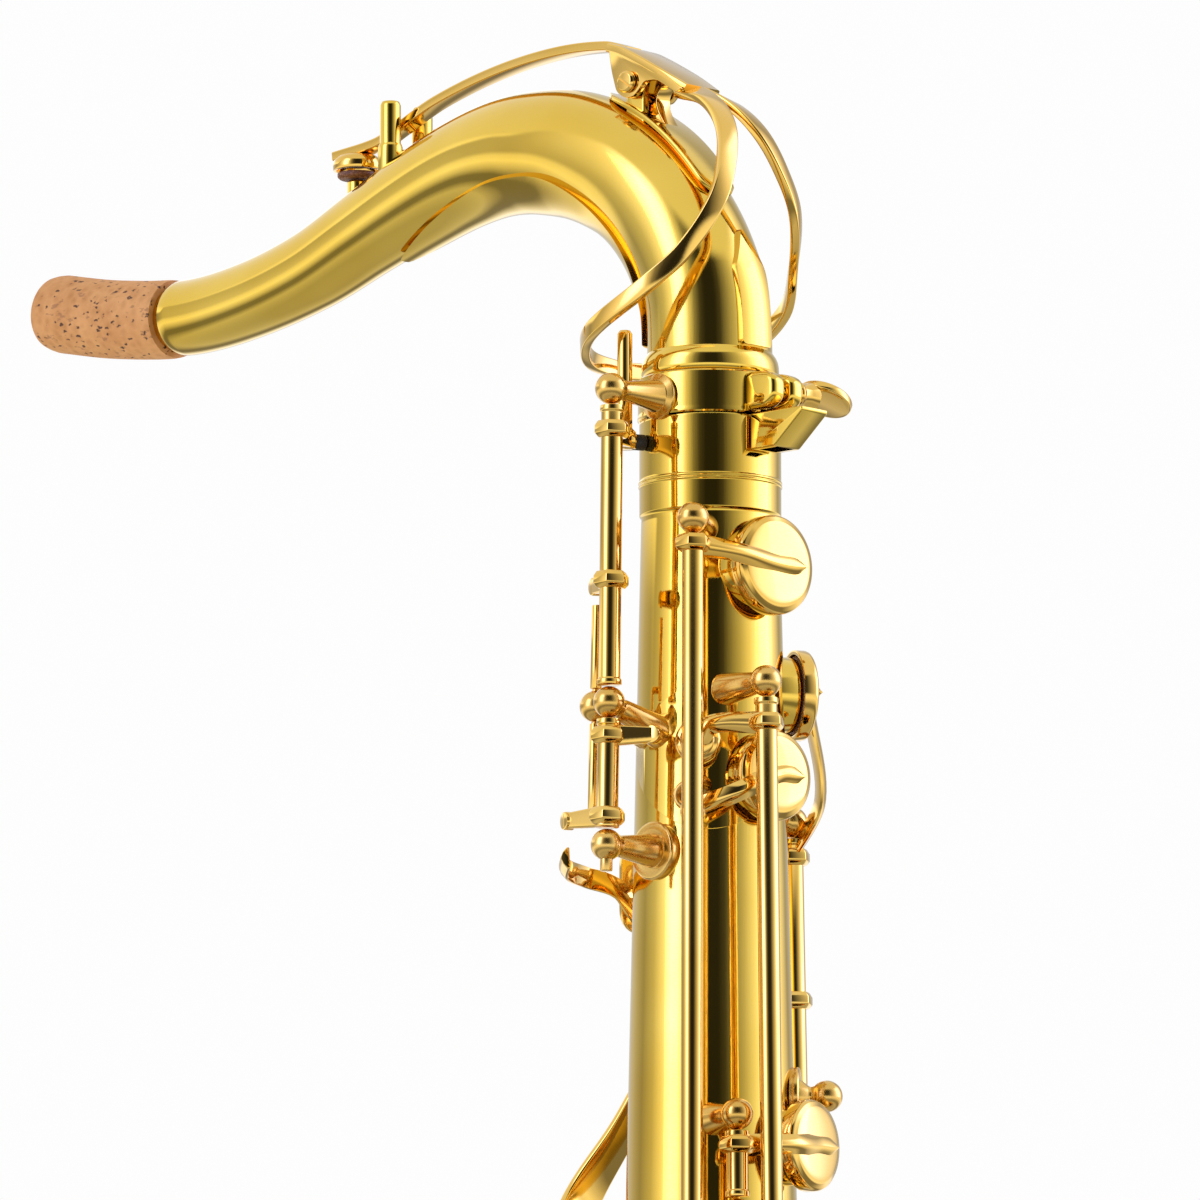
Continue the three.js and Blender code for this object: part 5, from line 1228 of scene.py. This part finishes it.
def pearl_foot(hole, share):
    base = hole.centre + hole.out * (SEAT_GAP + CUP_HEIGHT)
    sideways = Vector((-hole.out.y, hole.out.x, 0))
    return base - sideways * hole.cup * share


def pearl_seat(target, hole, share):
    foot, rise = pearl_foot(hole, share), PEARL_RISE
    turned(target, [(0, -0.6), (2.9, -0.6), (2.4, 1.2), (2.2, rise - 1.2), (3.4, rise - 0.2),
                    (8.2, rise), (8.6, rise + 0.5), (8.6, rise + 3.0), (8.1, rise + 3.2),
                    (7.7, rise + 3.0), (7.7, rise + 2.2), (0, rise + 2.2)],
           foot, foot + hole.out * 9, 56, 0.12)


def pearl_button(target, hole, share):
    foot = pearl_foot(hole, share) + hole.out * (PEARL_RISE + 2.5)
    dish = arc(0, 1.95, 7.0, -0.55, DOME_TURNS)
    turned(target, [(0, 0), (7.4, 0), (7.4, 1.7), (7.2, 2.05)] + dish + [(0, 1.4)], foot,
           foot + hole.out, 56, 0.1)


print("pearls ready")


# %% One builder for all keys
def swing_of(line, hole, span, opens):
    point = line.at(line.stops[span[0]])
    axis = (line.at(line.stops[span[1]]) - point).normalized()
    rises = axis.cross(hole.centre - point).dot(hole.out) > 0
    return point, (-axis if rises == opens else axis)


def key(name, line, hole, span, hub, opens=0, touch=None, place=None, pearl=None, via=None,
        own_pad=False, broad=0):
    line, hole = LINES[line], HOLES[hole]
    brass, leather = bmesh.new(), bmesh.new()
    hinge_tube(brass, line, line.stops[span[0]], line.stops[span[1]], [hub] + ([touch] if touch else []))
    cup_arm(brass, line.at(hub), hole, via)
    cup(brass, hole)
    pad_disc(leather, hole)
    parts = [(brass, name + "_work", name, "rose_brass"),
             (leather, name + "_leather", name + "_pad" if own_pad else None, "leather")]
    if place:
        touch_arm(brass, line, touch, place, broad)
        touch_plate(brass, place)
    if pearl is not None:
        button = bmesh.new()
        pearl_seat(brass, hole, pearl)
        pearl_button(button, hole, pearl)
        parts.append((button, name + "_button", name + "_pearl", "pearl"))
    point, axis = swing_of(line, hole, span, opens > 0)
    turn = (Matrix.Translation(point) @ Matrix.Rotation(radians(-opens), 4, axis)
            @ Matrix.Translation(-point))
    for part, piece, node, finish in parts:
        if opens:
            part.transform(turn)
        dressed(part, piece, node, name, finish)


print("builder ready")

# %% Upper keys
key("high_f_sharp_key", "high_f_sharp", "high_f_sharp", (0, 1), 39.4, touch=374,
    place=(-112, 17, 372, 11, 20), own_pad=True)
key("high_e_key", "high_e", "high_e", (0, 1), 95, touch=362, place=(-84, 15, 350, 10, 20), own_pad=True)
key("palm_f_key", "palm_f", "palm_f", (0, 1), 99.5, touch=130, place=(156, 20, 104, 12, 20),
    via=(69, 10, 88), own_pad=True)
key("palm_e_flat_key", "palm", "palm_e_flat", (0, 1), 112, touch=119, place=(150, 20, 126, 12, 18))
key("palm_d_key", "palm", "palm_d", (1, 2), 140, touch=143, place=(189, 22, 188, 15, 30), broad=11)
key("high_c_key", "upper", "high_c", (0, 1), 165.5, opens=5, own_pad=True)
key("body_octave_key", "body_octave", "body_octave", (0, 1), 77, via=(-46, 8.2, 77))

# %% Main stack keys
for number, (name, depth) in enumerate([("b", 191), ("a", 223), ("g", 260)], start=1):
    key(name + "_key", "upper", name, (number, number + 1), depth, opens=6, pearl=0.1)
key("g_sharp_key", "g_sharp", "g_sharp", (0, 1), 297, touch=309, place=(92, 18, 312, 14, 20))
key("f_sharp_key", "lower", "f_sharp", (0, 1), 330, opens=5)
for number, (name, depth) in enumerate([("f", 370), ("e", 413), ("d", 460)], start=1):
    key(name + "_key", "lower", name, (number, number + 1), depth, opens=5, pearl=0.7)

# %% Side and low keys
key("side_c_key", "side_c", "side_c", (0, 1), 206, touch=340, place=(-160, 17, 328, 10, 22))
key("side_b_flat_key", "side_b_flat", "side_b_flat", (0, 1), 236, touch=326,
    place=(-134, 18, 314, 10, 22))
key("low_e_flat_key", "little_finger", "low_e_flat", (0, 1), 515, touch=504,
    place=(-124, 18, 500, 14, 20))
key("low_c_key", "little_finger", "low_c", (1, 2), 565, opens=5)
key("low_b_flat_key", "low_b_flat", "low_b_flat", (0, 1), 456, opens=3, touch=309,
    place=(-44, 26, 305, 10, 16))
key("low_b_key", "low_b", "low_b", (0, 1), 512, opens=3)
key("low_c_sharp_key", "low_c_sharp", "low_c_sharp", (0, 1), 565)

# %% [markdown]
# ## Octave mechanism
# The thumb presses one touch at the back. Through a long tail it moves two small rods under the
# receiver: one carries the upright pin that lifts the loop on the neck, the other opens the small
# vent on the body. They share a post, a slim rocker lies beside them, and a black stop keeps the
# pin lever from ringing against the tube. The two levers and the thumb key are rods with flat
# tails, so the parts of a key are used again.

# %% Pin lever, transfer lever and rocker
octave, rocker = LINES["octave"], LINES["rocker"]


def tail(target, start, end, out=outward, width=ARM_WIDTH):
    middle = start.lerp(end, 0.5)
    swept(target, smooth_path([start, middle, end], 5), out, bar_section(width, 2.2, 0.5),
          lambda share: (1 - 0.3 * share, 1), 0)
    ending = end - (end - start).normalized() * 0.4
    turned(target, [(0, -1.1), (width * 0.42, -1.1), (width * 0.42, 1.1), (0, 1.1)], ending,
           ending + outward(ending), 32, 0.3)


pin_lever = bmesh.new()
hinge_tube(pin_lever, octave, RECEIVER_POST, octave.stops[0], [14, 46])
PIN_TURN, PIN_REACH = -114, 19.5
tail(pin_lever, octave.at(14), at(PIN_TURN, PIN_REACH, 14))
pin_place = at(PIN_TURN, PIN_REACH, 16)
turned(pin_lever, [(0, 0), (2.4, 0), (2.4, 3.6), (1.6, 4.4), (1.6, 24.6), (1.1, 25.4), (0, 25.4)],
       pin_place, pin_place + UPWARD, 28, 0.15)
tail(pin_lever, octave.at(46), on_tube(-112, 11.5, 46))
tail(pin_lever, octave.at(14.6), on_tube(-112, 4.2, 14.2))
dressed(pin_lever, "octave_pin_rod", "octave_pin_lever", "octave_pin_lever", "rose_brass")
stop = bmesh.new()
rod_of(stop, on_tube(-113, 3.4, 14.4), on_tube(-113, 0.5, 14.4), 1.7)
dressed(stop, "octave_pin_stop", None, "octave_pin_lever", "rubber")

transfer = bmesh.new()
hinge_tube(transfer, octave, *octave.stops, [79, 96])
tail(transfer, octave.at(79), on_tube(-74, 9.4, 79))
tail(transfer, octave.at(96), on_tube(-112, 17, 96))
dressed(transfer, "octave_transfer_rod", "octave_transfer_lever", "octave_transfer_lever", "rose_brass")

rocker_rod = bmesh.new()
rod_of(rocker_rod, rocker.at(50), rocker.at(67.85), 1.2)
rod_of(rocker_rod, rocker.at(75.15), rocker.at(93.5), 1.2)
aside = radial(134) * 5.6
strap = [rocker.at(65.5), rocker.at(65.5) + aside, rocker.at(77.5) + aside, rocker.at(77.5)]
for start, end in zip(strap, strap[1:]):
    rod_of(rocker_rod, start, end, 0.85, 20, 0.1)
dressed(rocker_rod, "octave_rocker_rod", "octave_rocker", "octave_rocker", "rose_brass")

# %% Thumb key
thumb = LINES["thumb"]
thumb_key = bmesh.new()
hinge_tube(thumb_key, thumb, *thumb.stops, [115.4, 236.4])
tail_points = [thumb.at(115.4), on_tube(179, 7.4, 110.5), on_tube(188, 8.6, 106.4),
               on_tube(205, 12, 104.8), on_tube(226, 14.5, 104.4),
               on_tube(240, 15.5, 103)]
swept(thumb_key, smooth_path(tail_points, 8), outward, ridge_section(ARM_WIDTH, ARM_THICK), None, 0.2)
tail(thumb_key, thumb.at(236.4), on_tube(195, 7.5, 236.4))
touch_plate(thumb_key, (195, 7.5, 236, 13, 17))
dressed(thumb_key, "octave_thumb_bar", "octave_thumb_key", "octave_thumb_key", "rose_brass")

# %% [markdown]
# ## Bow and bell
# The bow carries the tube round to the bell, which opens in a flare and ends in a rolled rim. The
# bell is a spun profile with a real wall, so light falls inside it. Its three tone holes are cut
# and given chimneys like those on the body. Two ferrules hide the joints, and a plate guards the
# bow where the instrument would touch the ground.

# %% Bow and ferrules
BOW_DEPTH = 606
bow_centre = Vector((BOW_SPAN / 2, 0, -BOW_DEPTH))
bow_line = [Vector((0, 0, -600.3))]
bow_line += [bow_centre + Vector((cos(radians(turn)), 0, sin(radians(turn)))) * BOW_SPAN / 2
             for turn in range(180, 361, 3)]
bow_line += [Vector((BOW_SPAN, 0, -603))]


def bow_radius(share, growth=0.0):
    grown = min(max((share - 0.1) / 0.8, 0), 1)
    return 27.8 + 9.7 * grown + growth


bow = bmesh.new()
drawn(bow, bow_line, PLAYER_LEFT, bow_radius, 1.1, 96)
dressed(bow, "bow_skin", "bow")

guard_shell = bmesh.new()
drawn(guard_shell, bow_line, PLAYER_LEFT, lambda share: bow_radius(share, 1.9), 1.6, 96)
guard_block = bmesh.new()
plate(guard_block, oblong(110, 26, 6), 37.5,
      Matrix.Translation((54, 0, -697.5)), 0)
carved(guard_shell, guard_block, "INTERSECT")
dressed(guard_shell, "bow_plate", "bow_guard")


def ferrule(name, node, foot, top, inner):
    ring = bmesh.new()
    high = (top - foot).length
    outer = inner + 1.6
    turned(ring, [(inner, 0), (outer - 0.3, 0), (outer, 0.4), (outer, 1.8), (outer - 0.5, 2.3),
                  (outer - 0.5, high - 2.3), (outer, high - 1.8), (outer, high - 0.4),
                  (outer - 0.3, high), (inner, high)], foot, top, 96, 0.1)
    dressed(ring, name, node)


ferrule("body_ferrule", "body_bow_ring", Vector((0, 0, -603)), Vector((0, 0, -593)), 28.4)
ferrule("bell_ferrule", "bell_bow_ring", Vector((BOW_SPAN, 0, -606)), Vector((BOW_SPAN, 0, -594)), 38.7)

# %% Bell
bell = bmesh.new()
foot, top = bell_centre(BELL_FOOT), bell_centre(BELL_TOP)
length = (top - foot).length
outer = [(bell_flare(n / 48) * BELL_RIM, length * n / 48) for n in range(48)]
inner = [(reach - 1.2, high) for reach, high in outer]
roll = arc(BELL_RIM - 1.1, length + 0.4, 1.9, 1.3, range(-60, 210, 15))
turned(bell, outer + roll + inner[::-1], foot, top, 128, 0)
carved(bell, bore_cutters([HOLES[name] for name in BELL_HOLES]))
for name in BELL_HOLES:
    chimney(bell, HOLES[name])
dressed(bell, "bell_skin", "bell")

# %% [markdown]
# ## Brace, guards, strap ring and thumb pieces
# A round brace with a ring in it ties the bell to the body. Straps on little pillars guard the
# low cups. The strap ring takes the weight of the instrument, the thumb rest and the thumb hook
# steady it. All of these are soldered on, most of them by round or oblong feet.

# %% Bell brace
BRACE_TURN, BRACE_RADIUS = 66, 2.6
bell_brace = bmesh.new()
depth, aside_y = 391, 30
centre = bell_centre(depth)
along = sqrt(bell_radius(depth) ** 2 - aside_y ** 2)
bell_end = Vector((centre.x - along, aside_y, -depth))
body_foot = on_tube(BRACE_TURN, 0.3, depth)
corner = Vector((aside_y * cos(radians(BRACE_TURN)) + 4, aside_y, -depth))
inward = (centre - bell_end).normalized()
bell_foot = bell_end - inward * 0.3
bell_pad = bell_foot - inward * 1.6
middle = corner.lerp(bell_pad, 0.5)
for foot, tip in ((body_foot, body_foot + radial(BRACE_TURN)), (bell_foot, bell_pad)):
    turned(bell_brace, [(0, 0), (4, 0), (3.8, 1.0), (2.7, 1.8), (0, 1.8)], foot, tip, 40, 0.2)
inner_gap = (bell_pad - corner).normalized() * 10.6
brace_path = smooth_path([body_foot + radial(BRACE_TURN) * 1.2, body_foot.lerp(corner, 0.7), corner,
                          middle - inner_gap], 8)
swept(bell_brace, brace_path, UPWARD, round_section(28), lambda share: (BRACE_RADIUS, BRACE_RADIUS))
rod_of(bell_brace, middle + inner_gap, bell_pad, BRACE_RADIUS)
turned(bell_brace, arc(9.3, 2.6, 2.3, 2.5, RING_TURNS), middle - Vector((0, 2.6, 0)),
       middle + Vector((0, 2.6, 0)), 64, 0)
dressed(bell_brace, "bell_brace_ring", "bell_brace")


# %% Guards over the low cups
def strap_guard(name, node, feet, surface, lift, out):
    part = bmesh.new()
    over = [surface(lift, depth) for depth in feet]
    for depth, top in zip(feet, over):
        foot = surface(0.6, depth)
        height = (top - foot).length
        turned(part, [(0, 0), (3.6, 0), (3.6, 0.9), (2.9, 1.4), (2.0, 3.0), (2.0, height - 1.0),
                      (2.6, height), (0, height)], foot, top, 32, 0.2)
        turned(part, [(0, 0), (2.1, 0), (2.1, 0.9), (1.6, 1.3), (0, 1.3)], top + out * 0.5,
               top + out * 3, 28, 0.1)
    over[0], over[-1] = over[0] + UPWARD * 4, over[-1] - UPWARD * 4
    swept(part, smooth_path(over, 10), out, bar_section(8, 1.6, 0.5), None, 0)
    dressed(part, name, node)


def on_bell(lift, depth):
    centre = bell_centre(depth)
    centre.y = -bell_radius(depth) - lift
    return centre


strap_guard("low_guard_strap", "low_key_guard", [491, 539.5, 588],
            lambda lift, depth: on_tube(-42, lift, depth), 14.6, radial(-42))
strap_guard("bell_guard_strap", "bell_key_guard", [423, 480.5, 537.5, 589.5], on_bell, 17,
            -PLAYER_LEFT)

# %% Strap ring
STRAP_DEPTH = 340
strap_ring = bmesh.new()
ring_place = Vector((-31.4, 0, -STRAP_DEPTH))
turned(strap_ring, arc(5.0, 0, 1.1, 1.1, RING_TURNS), ring_place, ring_place + PLAYER_LEFT, 56, 0)
surface = tube_radius(STRAP_DEPTH) + 0.6
plate(strap_ring, oblong(10, 16, 2), 1.2,
      standing((-surface - 0.6, 0, -STRAP_DEPTH), (0, -1, 0), (0, 0, 1)), 0.3)
web = [(-surface - 0.4, -345), (-26.8, -342.4), (-26.8, -337.6), (-surface - 0.4, -335)]
plate(strap_ring, rounded_outline(web, 0.6), 2.2, BELL_PLANE, 0.4)
dressed(strap_ring, "strap_eye_ring", "strap_ring", "body", "rose_brass")

# %% Thumb rest and hook
REST_TURN, HOOK_TURN, HOOK_DEPTH = 190, 182, 425
rest = bmesh.new()
start = on_tube(REST_TURN, 0.3, 260)
turned(rest, [(0, 0), (9, 0), (9, 1.6), (8.4, 2.3), (6, 3.2), (3, 3.8), (0, 4)], start,
       start + radial(REST_TURN), 56, 0.2)
dressed(rest, "thumb_rest_button", "thumb_rest", "body", "rubber")

hook = bmesh.new()
HOOK = [(-0.08, 0.4), (0.5, 0.35), (0.85, 0), (0.9, -0.5), (0.8, -0.9)]
hook_path = smooth_path([on_tube(HOOK_TURN, 4.8 + out * 34, HOOK_DEPTH - up * 17)
                         for out, up in HOOK], 8)
swept(hook, hook_path, tangent(HOOK_TURN), bar_section(2.4, 11, 0.9), None, 0)
plate(hook, oblong(11, 34, 4), 2.4,
      standing(on_tube(HOOK_TURN, 2.1, HOOK_DEPTH), tangent(HOOK_TURN), (0, 0, 1)), 0.5)
dressed(hook, "thumb_hook_bar", "thumb_hook")
